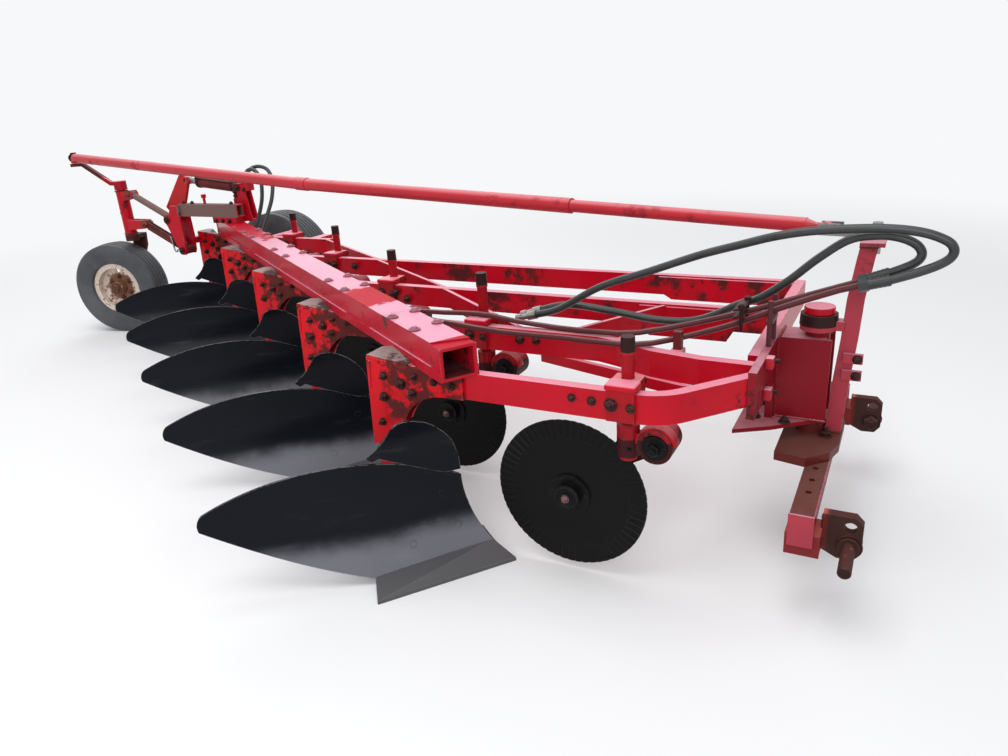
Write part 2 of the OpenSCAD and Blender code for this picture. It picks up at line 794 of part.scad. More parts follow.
module upper_link() {
    place() color(red) difference() {
        union() {
            link_hub(link_upper, link_y - hub_w, crank_y[1], hub_r);
            link_hub(head_upper, link_y - 18, link_y + 18, 28);
            rod(on_link(20), on_link(norm(link_run) - tube_end), 22);
            rod(on_link(norm(link_run) - tube_end - 1), on_link(norm(link_run) - 20), 17);
            side_plate(crank_y[0], crank_y[1]) polygon([[-3082, 883], [-3010, 806], [-2975, 782],
                [-2918, 851], [-2820, 1046], [-2832, 1080], [-2862, 1102], [-2892, 1096]]);
        }
        link_hub(link_upper, 1500, 1900, pin_r + fit_gap);
        link_hub(head_upper, 1500, 1900, pin_r + fit_gap);
        link_hub(lift_eye, 1500, 1900, pin_r + gap);
    }
}

module lower_link() {
    a = atan2(link_run[1], link_run[0]);
    place() color(old_red) difference() {
        union() {
            link_hub(link_lower, link_y - hub_w, link_y + hub_w, hub_r);
            link_hub(head_lower, link_y - 18, link_y + 18, 28);
            translate([link_lower[0], link_y, link_lower[1]]) rotate([0, -a, 0]) {
                translate([24, -16, -26]) cube([norm(link_run) - 48, 8, 52]);
                translate([24, 8, -26]) cube([norm(link_run) - 48, 8, 52]);
                translate([24, -16, 18]) cube([norm(link_run) - 48, 32, 8]);
            }
        }
        link_hub(link_lower, 1500, 1900, pin_r + fit_gap);
        link_hub(head_lower, 1500, 1900, pin_r + fit_gap);
    }
}

king_r = 25;
tube_r = 40;
tube_z = [700, 1000];

module tail_head() {
    place() color(red) {
        difference() {
            union() {
                translate([tail_king[0], tail_king[1], tube_z[0]])
                    cylinder(h = tube_z[1] - tube_z[0], r = tube_r);
                for (side = [-1, 1]) {
                    y = link_y + side * 26;
                    side_plate(y - 6, y + 6) polygon([[-3447, 990], [-3330, 1003],
                        [-3315, 965], [-3345, 945], [-3447, 925]]);
                    side_plate(y - 6, y + 6) polygon([[-3447, 800], [-3250, 800],
                        [-3228, 770], [-3250, 742], [-3447, 725]]);
                }
            }
            translate([tail_king[0], tail_king[1], 600]) cylinder(h = 500, r = king_r + fit_gap);
        }
        link_hub(head_upper, link_y - 32, link_y + 32, pin_r);
        link_hub(head_lower, link_y - 32, link_y + 32, pin_r);
    }
}

// Children are drawn in the tail wheel's own heading: x ahead and y left of its kingpin
module in_tail_heading() {
    translate([tail_king[0], tail_king[1], 0]) rotate([0, 0, tail_yaw]) children();
}

tail_side = -33;
leg_y = tail_side + tail_w / 2 + 16;
leg_t = 22;
lever_z = 1052;

module tail_fork() {
    place() color(red) {
        in_tail_heading() {
            translate([0, 0, 650]) cylinder(h = 1066 - 650, r = king_r);
            difference() {
                translate([0, 0, 650]) cylinder(h = 44, r = 44);
                translate([0, 0, 640]) cylinder(h = 80, r = king_r);
            }
            difference() {
                translate([-50, 0, 664]) cube([100, leg_y + leg_t, 26]);
                translate([0, 0, 640]) cylinder(h = 80, r = 44);
            }
            side_plate(leg_y, leg_y + leg_t) polygon([[-50, 690], [50, 690], [44, 600],
                [-tail_trail + 46, tail_r - 34], [-tail_trail - 40, tail_r - 34],
                [-tail_trail - 40, tail_r + 30], [-64, 600]]);
            cross_pin(-tail_trail, tail_r, tail_side - 60, leg_y + leg_t + 10, 19);
        }
        difference() {
            lever();
            translate([tail_king[0], tail_king[1], 900]) cylinder(h = 300, r = king_r);
        }
    }
}

// The lever climbs from the kingpin's top to the pipe's rear eye
module lever() {
    d = lever_end - tail_king;
    rise = pipe_rear_z - lever_drop - 8 - lever_z;
    translate([tail_king[0], tail_king[1], lever_z]) rotate([0, 0, atan2(d[1], d[0])]) {
        translate([0, 0, -46]) cylinder(h = 60, r = 42);
        rotate([90, 0, 0]) translate([0, 0, -25]) linear_extrude(50) polygon([
            [20, -14], [60, -10], [norm(d) - 40, rise - 12], [norm(d) + 28, rise - 12],
            [norm(d) + 28, rise + 8], [norm(d) - 50, rise + 8], [50, 14], [20, 14]]);
    }
}

// Half outlines of wheel and tyre, from the axle outwards: r and side
module tyre_profile(r, w, rim) {
    difference() {
        translate([0, -w / 2]) union() {
            translate([rim + 4, w * 0.14]) square([r - rim - 30, w * 0.72]);
            translate([rim + (r - rim) * 0.48, w / 2]) scale([1, 1]) intersection() {
                translate([-(r - rim) * 0.46, -w / 2]) square([(r - rim) * 0.98 - 0.5, w]);
                circle(r = w / 2, $fn = 48);
            }
        }
        translate([rim - 60, -w * 0.28]) square([62, w * 0.56]);
    }
}

module tyre_solid(r, w, rim) {
    rotate([-90, 0, 0]) rotate_extrude($fn = 96) intersection() {
        tyre_profile(r, w, rim);
        translate([rim + 4, -w]) square([r - rim - 4, 2 * w]);
    }
}

module rim_solid(rim, w, hub_r, bore_r, dish) {
    rotate([-90, 0, 0]) difference() {
        rotate_extrude($fn = 96) {
            translate([rim - 30, -w * 0.33]) square([8, w * 0.66]);
            translate([rim - 30, -w * 0.36]) square([33.6, 7]);
            translate([rim - 30, w * 0.36 - 7]) square([33.6, 7]);
            translate([bore_r, dish - 5]) square([rim - 26 - bore_r, 10]);
            translate([bore_r, -62 + dish]) square([hub_r - bore_r, 124]);
        }
        for (i = [0:7]) rotate([0, 0, i * 45]) translate([rim - 56, 0, dish - 30])
            cylinder(h = 60, r = 14);
    }
}

module tail_rim() {
    place() color([0.85, 0.8, 0.65]) in_tail_heading()
        translate([-tail_trail, tail_side, tail_r])
        rim_solid(tail_rim_r, tail_w, 48, 19 + fit_gap, -12);
}

module tail_tyre() {
    place() color(rubber) in_tail_heading() translate([-tail_trail, tail_side, tail_r])
        tyre_solid(tail_r, tail_w, tail_rim_r);
}

// The lift cylinder lies over the rear bracket, its rod towards the bellcrank
lift_run = lift_eye - lift_base;
lift_len = norm(lift_run);
lift_tilt = atan2(lift_run[1], lift_run[0]);
bore_r = 20;
barrel_r = 36;

module in_cylinder(base, y, tilt) {
    translate([base[0], y, base[1]]) rotate([0, -tilt, 0]) children();
}

module barrel_solid(len_closed, barrel, stroke_r) {
    difference() {
        union() {
            translate([26, 0, 0]) rotate([0, 90, 0]) cylinder(h = len_closed, r = barrel);
            rotate([90, 0, 0]) translate([0, 0, -14]) cylinder(h = 28, r = 28);
        }
        translate([60, 0, 0]) rotate([0, 90, 0]) cylinder(h = len_closed, r = stroke_r + gap);
        rotate([90, 0, 0]) translate([0, 0, -30]) cylinder(h = 60, r = pin_r + fit_gap);
    }
}

module rod_solid(eye_at, len_rod, r) {
    difference() {
        union() {
            translate([eye_at - len_rod, 0, 0]) rotate([0, 90, 0]) cylinder(h = len_rod - 10, r = r);
            translate([eye_at, 0, 0]) rotate([90, 0, 0]) translate([0, 0, -12])
                cylinder(h = 24, r = 25);
        }
        translate([eye_at, 0, 0]) rotate([90, 0, 0]) translate([0, 0, -30])
            cylinder(h = 60, r = pin_r + fit_gap);
    }
}

module lift_barrel() {
    place() color(old_red) in_cylinder(lift_base, lift_y + 28, lift_tilt)
        barrel_solid(340, barrel_r, bore_r);
}

module lift_rod() {
    place() color(steel) in_cylinder(lift_base, lift_y + 28, lift_tilt) {
        rod_solid(lift_len, 370, bore_r);
    }
}

// The rear bracket: long tube on the beam, cheek plates for the links, tower for the cylinder
girder_z = [835, 915];
girder_x = [-2870, -2330];
cheek_y = [link_y - hub_w - 14, link_y - hub_w - 1];

module rear_bracket() {
    place() color(red) {
        difference() {
            block([girder_x[0], link_y - 30, girder_z[0]], [girder_x[1], link_y + 30, girder_z[1]]);
            block([girder_x[0] - 1, link_y - 22, girder_z[0] + 8],
                [girder_x[1] + 1, link_y + 22, girder_z[1] - 8]);
        }
        block([-2560, link_y - 30, beam_top + cap_t], [-2350, link_y + 60, girder_z[0]]);
        side_plate(cheek_y[0], cheek_y[1]) link_cheek();
        side_plate(link_y + hub_w + 1, link_y + hub_w + 13) difference() {
            union() {
                link_cheek();
                translate(link_upper) circle(r = 46);
            }
            translate(link_upper) circle(r = hub_r + gap);
        }
        for (p = [link_upper, link_lower])
            link_hub(p, cheek_y[0] - 6, link_y + hub_w + 16, pin_r);
        block([-2870, cheek_y[0], 860], [-2850, link_y - 30, 900]);
        block([-2870, link_y + 30, 860], [-2850, link_y + hub_w + 13, 900]);
        block([-2905, link_y + hub_w + 13, 640], [-2850, 4 * cut_w - bar_t / 2 - cheek_t, 680]);
        for (y = [lift_y - 2, lift_y + 46]) side_plate(y, y + 12) polygon([
            [-2440, beam_top + cap_t], [-2300, beam_top + cap_t], [-2330, 1010], [-2350, 1040],
            [-2402, 1040], [-2404, 962], [-2436, 940]]);
        block([-2348, lift_y - 2, 1034], [-2296, lift_y + 58, 1056]);
        block([-2330, lift_y - 2, 990], [-2296, lift_y + 58, 1034]);
        link_hub(lift_base, lift_y - 8, lift_y + 64, pin_r);
        block([-2440, lift_y - 2, beam_top + cap_t], [-2300, lift_y + 58, beam_top + cap_t + 12]);
        translate([-2640, link_y, girder_z[1]]) cylinder(h = 40, r = 9);
        translate([-2640, link_y, girder_z[1] + 40]) cylinder(h = 22, r = 16);
    }
}

module link_cheek() {
    polygon([[-3015, 800], [-2990, 770], [-2920, 600], [-2905, 575], [-2870, 575], [-2858, 600],
        [-2850, 700], [-2860, 905], [-2930, 905], [-2950, 850], [-3005, 838]]);
}

// The land wheel hangs on an arm at the left of the frame, worked by its own cylinder
land_hub = [-2620, land_r];
land_pivot = [-2300, 640];
land_y = 2330;
land_arm_y = [2120, 2150];
land_lever = [-2300, 490];
land_base = [-1960, 500];
land_cyl_y = 2050;

module land_arm() {
    place() color(red) {
        difference() {
            union() {
                link_hub(land_pivot, 1884, land_arm_y[1], 38);
                side_plate(land_arm_y[0], land_arm_y[1]) polygon([
                    [-2260, 660], [-2280, 690], [-2322, 682], [-2652, 420], [-2658, 372],
                    [-2620, 348], [-2580, 356], [-2266, 604]]);
                side_plate(land_cyl_y - 28, land_cyl_y - 17.5) lever_outline();
                side_plate(land_cyl_y + 17.5, land_cyl_y + 28) lever_outline();
            }
            link_hub(land_pivot, 1800, 2160, 22 + fit_gap);
            link_hub(land_lever, 1900, 2110, pin_r + gap);
        }
        link_hub(land_hub, land_arm_y[1], land_y + 70, 22);
    }
}

module lever_outline() {
    difference() {
        polygon([[-2340, 640], [-2326, 490], [-2318, 466], [-2282, 466], [-2274, 490], [-2260, 640]]);
        translate(land_pivot) circle(r = 30);
    }
}

module land_bracket() {
    inner = 4 * cut_w + bar_t / 2;
    place() color(red) {
        side_plate(inner, inner + 16) polygon([[-2360, bar_bottom], [-2240, bar_bottom],
            [-2240, bar_top], [-2360, bar_top]]);
        link_hub(land_pivot, inner + 16, land_arm_y[1] + 12, 22);
        block([-1995, inner, 634], [-1925, land_cyl_y + 27, 664]);
        for (y = [land_cyl_y - 27, land_cyl_y + 15]) side_plate(y, y + 12) polygon([
            [-1995, 640], [-1995, 560], [-1979, 545], [-1979, 484], [-1970, 474],
            [-1944, 474], [-1928, 490], [-1925, 640]]);
        link_hub(land_base, land_cyl_y - 30, land_cyl_y + 30, pin_r);
    }
}

module land_rim() {
    place() color(red) translate([land_hub[0], land_y, land_hub[1]])
        rim_solid(land_rim_r, land_w, 56, 22 + fit_gap, 10);
}

module land_tyre() {
    place() color(rubber) translate([land_hub[0], land_y, land_hub[1]])
        tyre_solid(land_r, land_w, land_rim_r);
}

land_run = land_lever - land_base;
land_len = norm(land_run);
land_tilt = atan2(land_run[1], land_run[0]);

module land_barrel() {
    place() color(old_red) in_cylinder(land_base, land_cyl_y, land_tilt)
        barrel_solid(190, 32, 16);
}

module land_rod() {
    place() color(steel) in_cylinder(land_base, land_cyl_y, land_tilt)
        rod_solid(land_len, 230, 16);
}

// The parking stand slides in a sleeve on the second bar
stand = [890, 398];
stand_w = 26;

module parking_stand() {
    place() color(old_red) {
        block([stand[0] - stand_w / 2, stand[1] - stand_w / 2, 460],
            [stand[0] + stand_w / 2, stand[1] + stand_w / 2, 745]);
        block([stand[0] - 36, stand[1] - 36, 450], [stand[0] + 36, stand[1] + 36, 460]);
    }
}

module stand_sleeve() {
    room = stand_w / 2 + gap;
    out = room + 6;
    difference() {
        translate([0, 0, bar_bottom + 10]) linear_extrude(bar_h - 10) polygon([
            [stand[0] - out, bar_2_face(stand[0] - out)], [stand[0] + out, bar_2_face(stand[0] + out)],
            [stand[0] + out, stand[1] + out], [stand[0] - out, stand[1] + out]]);
        block([stand[0] - room, stand[1] - room, 0], [stand[0] + room, stand[1] + room, 1000]);
    }
}

// Steel oil lines run forward along the beam and over the bars to the hoses
line_r = 10;
line_upper = [[-2100, 1635, 697], [-1900, 1505, 697], [-1300, 1113, 697], [-680, 715, 697],
    [-400, 575, 700], [-160, 495, 705], [60, 460, 724], [170, 459, 724], [260, 468, 708],
    [443, 465, 697], [608, 452, 700], [734, 470, 704], [932, 505, 748], [1085, 505, 797],
    [1178, 505, 830], [1315, 505, 880], [1422, 505, 919]];
line_lower = [[-2190, 1670, 697], [-1900, 1476, 697], [-1300, 1086, 697], [-700, 701, 697],
    [-400, 520, 697], [-160, 440, 700], [52, 385, 704], [278, 345, 704], [499, 346, 704],
    [700, 350, 700], [811, 390, 700], [941, 470, 721], [1066, 470, 768], [1183, 470, 823],
    [1346, 470, 890], [1424, 470, 912]];
hose_r = 13;

module oil_lines() {
    place() color(old_red) {
        tube(line_upper, line_r, [0, 0, 1], 2);
        tube(line_lower, line_r, [0, 0, 1], 2);
        for (y = [446, 529]) translate([1160, y, head_top]) cylinder(h = 145, r = 8);
        block([1150, 438, 778], [1170, 537, 790]);
    }
}

rear_hose_1 = [[-2190.3, 1670.2, 697], [-2207, 1681.4, 697], [-2220, 1693, 714],
    [-2222, 1704, 760], [-2198, 1730, 850], [-2172, 1750, 950], [-2172, 1765, 1050],
    [-2206, 1774, 1106], [-2258, 1780, 1124], [-2300, 1782, 1108], [-2314, 1782, 1080],
    [-2314, 1782, 1056.3]];
rear_hose_2 = [[-2100.3, 1635.2, 697], [-2117, 1646, 697], [-2131, 1658, 716],
    [-2134, 1676, 770], [-2110, 1716, 860], [-2088, 1750, 950], [-2090, 1780, 1050],
    [-2130, 1796, 1116], [-2200, 1804, 1138], [-2270, 1808, 1130], [-2316, 1808, 1104],
    [-2330, 1808, 1078], [-2330, 1808, 1056.3]];

module rear_hoses() {
    place() color(rubber) {
        tube(rear_hose_1, hose_r - 1, [0, 1, 0], 1);
        tube(rear_hose_2, hose_r - 1, [0, 1, 0], 1);
    }
}

// The front hoses stand out ahead of the mast and come back to lie on the frame
hose_1 = [[1424.3, 470, 912.1], [1473, 470, 925.5], [1547, 470, 955], [1604, 470, 985],
    [1628, 470, 1018], [1597, 470, 1045], [1534, 470, 1068], [1433, 470, 1072],
    [1280, 475, 1062], [1163, 485, 1041], [1045, 505, 1005], [922, 520, 966], [757, 520, 905],
    [579, 520, 840], [425, 520, 752], [330, 520, 722]];
hose_2 = [[1422.3, 505, 919.1], [1471, 505, 938.5], [1530, 505, 970], [1548, 505, 996],
    [1532, 505, 1024], [1490, 505, 1042], [1434, 505, 1046], [1358, 510, 1031],
    [1278, 520, 972], [1194, 540, 893], [1107, 560, 826], [1040, 580, 795], [905, 600, 726],
    [770, 600, 713], [600, 590, 735], [440, 575, 752], [330, 566, 728]];

module front_hose_1() {
    place() color(rubber) tube(hose_1, hose_r, [0, 1, 0], 2);
}

module front_hose_2() {
    place() color(rubber) tube(hose_2, hose_r, [0, 1, 0], 2);
}

// A coupling is a stepped plug on the hose's free end, in line with it
module hose_tip(route) {
    p = smooth_route(route, 2);
    end = len(p) - 1;
    d = tangent(p, end);
    place() color(steel) {
        rod(p[end] + gap * d, p[end] + 34 * d, hose_r + 3);
        rod(p[end] + 33 * d, p[end] + 63 * d, hose_r - 2);
        rod(p[end] + 62 * d, p[end] + 84 * d, hose_r + 1);
    }
}

module hose_tip_1() {
    hose_tip(hose_1);
}

module hose_tip_2() {
    hose_tip(hose_2);
}

main_beam();
beam_cap();
bar_1();
bar_2();
bar_3();
bar_4();
bar_5();
cross_braces();
headstock();
standard(0);  // standard_1
standard(1);  // standard_2
standard(2);  // standard_3
standard(3);  // standard_4
standard(4);  // standard_5
moldboard(0);  // moldboard_1
moldboard(1);  // moldboard_2
moldboard(2);  // moldboard_3
moldboard(3);  // moldboard_4
moldboard(4);  // moldboard_5
shares();
frogs();
cover_boards();
coulter_posts();
rear_bracket();
land_bracket();
oil_lines();
rear_hoses();
coulter_arm(0);  // coulter_arm_1
coulter_arm(1);  // coulter_arm_2
coulter_arm(2);  // coulter_arm_3
coulter_arm(3);  // coulter_arm_4
coulter_arm(4);  // coulter_arm_5
coulter_disc(0);  // coulter_disc_1
coulter_disc(1);  // coulter_disc_2
coulter_disc(2);  // coulter_disc_3
coulter_disc(3);  // coulter_disc_4
coulter_disc(4);  // coulter_disc_5
hitch_bar();
pin_brackets();
mast();
pipe_clevis();
steering_pipe();
upper_link();
lower_link();
tail_head();
tail_fork();
tail_rim();
tail_tyre();
lift_barrel();
lift_rod();
land_arm();
land_rim();
land_tyre();
land_barrel();
land_rod();
parking_stand();
front_hose_1();
front_hose_2();
hose_tip_1();
hose_tip_2();
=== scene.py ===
# Looks of the parked moldboard plough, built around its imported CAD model.
from math import atan2, cos, pi, radians, sin, sqrt

import bmesh
import bpy
from mathutils import Matrix, Vector


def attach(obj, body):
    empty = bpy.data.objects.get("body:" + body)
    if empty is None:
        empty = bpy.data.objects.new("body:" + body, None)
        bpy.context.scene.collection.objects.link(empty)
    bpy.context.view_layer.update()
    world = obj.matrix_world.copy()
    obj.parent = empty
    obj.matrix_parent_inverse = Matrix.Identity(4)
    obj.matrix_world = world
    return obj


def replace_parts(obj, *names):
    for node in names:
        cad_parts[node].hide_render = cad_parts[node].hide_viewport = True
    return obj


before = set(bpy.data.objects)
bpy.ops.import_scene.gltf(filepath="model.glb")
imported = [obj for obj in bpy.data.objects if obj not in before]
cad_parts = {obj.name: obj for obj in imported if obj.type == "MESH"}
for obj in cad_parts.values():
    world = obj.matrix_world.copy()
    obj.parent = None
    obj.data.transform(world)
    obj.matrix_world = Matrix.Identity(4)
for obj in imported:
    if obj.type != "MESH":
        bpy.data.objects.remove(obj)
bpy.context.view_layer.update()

# View: the machine seen from ahead on its right, from about eye height, as it stands parked.
# The bearing, slope and roll are those at which its bars, beam and wheels line up as pictured.
view_bearing, view_slope, view_roll = radians(28.926), radians(20.715), radians(-3.8105)
eye, lens_length = (2.721, -2.856, 1.502), 27.257
flat_right = Vector((cos(view_bearing), sin(view_bearing), 0))
ahead = Vector((-sin(view_bearing) * cos(view_slope), cos(view_bearing) * cos(view_slope),
                -sin(view_slope)))
flat_up = flat_right.cross(ahead)
view_right = flat_right * cos(view_roll) + flat_up * sin(view_roll)
view_up = flat_up * cos(view_roll) - flat_right * sin(view_roll)
camera = bpy.data.objects.new("camera", bpy.data.cameras.new("camera"))
bpy.context.scene.collection.objects.link(camera)
camera.matrix_world = Matrix.Translation(eye) @ Matrix(
    (view_right, view_up, -ahead)).transposed().to_4x4()
camera.data.sensor_width = 36
camera.data.lens = lens_length
camera.data.clip_end = 200
bpy.context.scene.camera = camera
bpy.context.scene.view_settings.view_transform = "Standard"


# Front hoses: two rubber hydraulic hoses, 26 mm across, that plug into the tractor.
# Unhitched, they stand out ahead of the mast on their own stiffness and come back over the
# frame, where their couplings lie on the oil lines.
first_standard = (1204, -950)


def from_standard(x, y, z):
    """Place given in millimetres from the first standard, on the ground."""
    return Vector((x + first_standard[0], y + first_standard[1], z)) / 1000


def smooth_run(points, steps):
    """Evenly stepped points on a smooth curve through the given ones."""
    run = []
    for i in range(len(points) - 1):
        a, b = points[max(i - 1, 0)], points[i]
        c, d = points[i + 1], points[min(i + 2, len(points) - 1)]
        for step in range(steps):
            t = step / steps
            run.append(0.5 * (2 * b + (c - a) * t + (2 * a - 5 * b + 4 * c - d) * t * t
                              + (3 * b - 3 * c + d - a) * t ** 3))
    return run + [points[-1]]


def hose_along(name, points, radius, body):
    """A round hose or rod along points, riding on a body."""
    line = bpy.data.curves.new(name, "CURVE")
    line.dimensions = "3D"
    line.bevel_depth = 1
    line.bevel_resolution = 5
    line.use_fill_caps = True
    spline = line.splines.new("POLY")
    spline.points.add(len(points) - 1)
    for place, point in zip(points, spline.points):
        point.co = (*place, 1)
        point.radius = radius
    spline.use_smooth = True
    hose = bpy.data.objects.new(name, line)
    bpy.context.scene.collection.objects.link(hose)
    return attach(hose, body)


def run_length(points):
    return sum((b - a).length for a, b in zip(points, points[1:]))


outer_route = [from_standard(*p) for p in (
    (1424.3, 470, 912.1), (1473, 470, 925.5), (1547, 470, 954), (1596, 470, 979),
    (1619, 470, 1001), (1620, 470, 1024), (1597, 470, 1045), (1534, 470, 1065),
    (1433, 470, 1072), (1280, 475, 1062),
    (1163, 485, 1041), (1045, 505, 1005), (922, 520, 966), (757, 520, 905), (579, 520, 840),
    (425, 520, 752), (330, 520, 722))]
inner_route = [from_standard(*p) for p in (
    (1422.3, 505, 919.1), (1471, 505, 938.5), (1521, 505, 963), (1543, 505, 983),
    (1545, 505, 1004), (1527, 505, 1025), (1488, 505, 1041), (1434, 505, 1046),
    (1358, 510, 1031), (1278, 520, 972),
    (1194, 540, 893), (1107, 560, 826), (1040, 580, 795), (905, 600, 726), (770, 600, 713),
    (600, 590, 735), (440, 575, 752), (330, 566, 728))]
rubber_hoses = []
for number, route in ((1, outer_route), (2, inner_route)):
    run = smooth_run(route, 10)
    hose = hose_along(f"front_hose_{number}_rubber", run, 0.013, "frame")
    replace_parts(hose, f"front_hose_{number}")
    round(run_length(run), 3)
    rubber_hoses.append(hose)


# Rear hoses: two rubber hoses, 24 mm across, that rise from the oil lines' rear ends, bend
# over on their own stiffness and drop into the ports of the lift cylinder.
first_rise = [from_standard(*p) for p in (
    (-2190.3, 1670.2, 697), (-2207, 1681.4, 697), (-2220, 1693, 714), (-2222, 1704, 760),
    (-2198, 1730, 850), (-2172, 1750, 950), (-2172, 1765, 1050), (-2206, 1774, 1106),
    (-2258, 1780, 1124), (-2300, 1782, 1108), (-2314, 1782, 1080), (-2314, 1782, 1056.3))]
second_rise = [from_standard(*p) for p in (
    (-2100.3, 1635.2, 697), (-2117, 1646, 697), (-2131, 1658, 716), (-2134, 1676, 770),
    (-2110, 1716, 860), (-2088, 1750, 950), (-2090, 1780, 1050), (-2130, 1796, 1116),
    (-2200, 1804, 1138), (-2270, 1808, 1130), (-2316, 1808, 1104), (-2330, 1808, 1078),
    (-2330, 1808, 1056.3))]
for number, route in ((1, first_rise), (2, second_rise)):
    run = smooth_run(route, 8)
    hose = hose_along(f"rear_hose_{number}_rubber", run, 0.012, "frame")
    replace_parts(hose, "rear_hoses")
    round(run_length(run), 3)
    rubber_hoses.append(hose)


# Studio: a pale floor without an edge and broad soft lamps, so that paint shows its own colour.
# Camera and mirror rays see the floor's far part as plain white.
class Grade:
    """A number that varies over a surface: sums and products of it become Math nodes."""

    def __init__(self, finish, socket):
        self.finish, self.socket = finish, socket

    def worked(self, how, first, second):
        return self.finish.node("ShaderNodeMath", {"operation": how}, {0: first, 1: second})

    def __add__(self, other):
        return self.worked("ADD", self, other)

    def __sub__(self, other):
        return self.worked("SUBTRACT", self, other)

    def __rsub__(self, other):
        return self.worked("SUBTRACT", other, self)

    def __mul__(self, other):
        return self.worked("MULTIPLY", self, other)

    __radd__ = __add__
    __rmul__ = __mul__

    def round(self):
        return self.worked("ROUND", self, 0)

    def size(self):
        return self.worked("ABSOLUTE", self, 0)

    def ramp(self, low, high):
        """0 below low, 1 above high, and a soft step between."""
        return self.finish.node("ShaderNodeMapRange", {"interpolation_type": "SMOOTHSTEP"},
                                {0: self, 1: low, 2: high})


class Finish:
    """A material, or the sky, under construction around the shader that it starts with."""

    def __init__(self, name, store=bpy.data.materials, shader="Principled BSDF"):
        self.material = store.new(name)
        self.material.use_nodes = True
        self.tree = self.material.node_tree
        self.shader = self.tree.nodes[shader]

    def node(self, kind, settings, values, out=0):
        node = self.tree.nodes.new(kind)
        for key, value in settings.items():
            setattr(node, key, value)
        for key, value in values.items():
            self.feed(node.inputs[key], value)
        return Grade(self, node.outputs[out])

    def feed(self, socket, value):
        if isinstance(value, Grade):
            self.tree.links.new(value.socket, socket)
        elif hasattr(value, "__len__") and socket.type == "RGBA":
            socket.default_value = (*value, 1)
        else:
            socket.default_value = value

    def give(self, **sockets):
        """Values for the shader's own sockets, with _ for a space in their names."""
        for name, value in sockets.items():
            self.feed(self.shader.inputs[name.replace("_", " ")], value)
        return self

    def plain_white(self, kind, share):
        """Makes the camera and mirrors see plain white, over a share of the surface."""
        seen = sum(self.node("ShaderNodeLightPath", {}, {}, out=f"Is {ray} Ray")
                   for ray in ("Camera", "Glossy", "Transmission"))
        lit = Grade(self, self.shader.outputs[0])
        white = self.node(kind, {}, {"Color": studio_white})
        output = lit.socket.links[0].to_socket
        self.feed(output, self.node("ShaderNodeMixShader", {}, {0: seen * share, 1: lit, 2: white}))

    def place(self, stretch=(1, 1, 1)):
        spot = self.node("ShaderNodeTexCoord", {}, {}, out="Object")
        return self.node("ShaderNodeMapping", {}, {"Vector": spot, "Scale": stretch})

    def along(self, axis):
        return self.node("ShaderNodeSeparateXYZ", {}, {0: self.place()}, out="XYZ".index(axis))

    def noise(self, scale, detail=4, stretch=(1, 1, 1), rough=0.55):
        return self.node("ShaderNodeTexNoise", {}, {
            "Vector": self.place(stretch), "Scale": scale, "Detail": detail,
            "Roughness": rough})

    def mix(self, share, first, second):
        return self.node("ShaderNodeMix", {"data_type": "RGBA"},
                         {0: share, 6: first, 7: second}, out=2)

    def facing_up(self):
        facing = self.node("ShaderNodeNewGeometry", {}, {}, out="Normal")
        return self.node("ShaderNodeSeparateXYZ", {}, {0: facing}, out=2)

    def worn_edge(self, radius):
        """1 where the surface turns a corner sharper than the radius."""
        facing = self.node("ShaderNodeNewGeometry", {}, {}, out="Normal")
        rounded = self.node("ShaderNodeBevel", {"samples": 4}, {"Radius": radius})
        same = self.node("ShaderNodeVectorMath", {"operation": "DOT_PRODUCT"},
                         {0: facing, 1: rounded}, out="Value")
        return (1 - same).ramp(0.02, 0.2)

    def bump(self, strength, distance, *grades):
        height = grades[0]
        for grade in grades[1:]:
            height = height + grade
        return self.node("ShaderNodeBump", {}, {
            "Strength": strength, "Distance": distance, "Height": height})


studio_white = (0.93, 0.94, 0.95)
floor_mesh = bmesh.new()
bmesh.ops.create_grid(floor_mesh, x_segments=1, y_segments=1, size=70)
floor_data = bpy.data.meshes.new("floor")
floor_mesh.to_mesh(floor_data)
floor_mesh.free()
floor = bpy.data.objects.new("floor", floor_data)
bpy.context.scene.collection.objects.link(floor)
floor_finish = Finish("pale_floor").give(Base_Color=(0.86, 0.86, 0.86), Roughness=0.9)
far_off = floor_finish.node("ShaderNodeVectorMath", {"operation": "LENGTH"},
                            {0: floor_finish.place()}, out="Value").ramp(3.2, 8.5)
floor_finish.plain_white("ShaderNodeEmission", far_off)
floor_data.materials.append(floor_finish.material)

sky = Finish("sky", bpy.data.worlds, "Background").give(Color=(0.93, 0.96, 1), Strength=0.55)
sky.plain_white("ShaderNodeBackground", 1)
bpy.context.scene.world = sky.material

lit_place = Vector((0, 0, 0.4))
for name, place, size, power in (
        ("lamp_over", (0.5, -1.5, 7.5), 7.0, 330), ("lamp_right", (3.5, -7.5, 4.5), 5.0, 210),
        ("lamp_behind", (-5.0, 5.5, 5.0), 6.0, 150)):
    lamp = bpy.data.lights.new(name, "AREA")
    lamp.shape = "DISK"
    lamp.size = size
    lamp.energy = power
    holder = bpy.data.objects.new(name, lamp)
    bpy.context.scene.collection.objects.link(holder)
    holder.matrix_world = Matrix.Translation(place) @ (
        Vector(place) - lit_place).to_track_quat("Z", "Y").to_matrix().to_4x4()


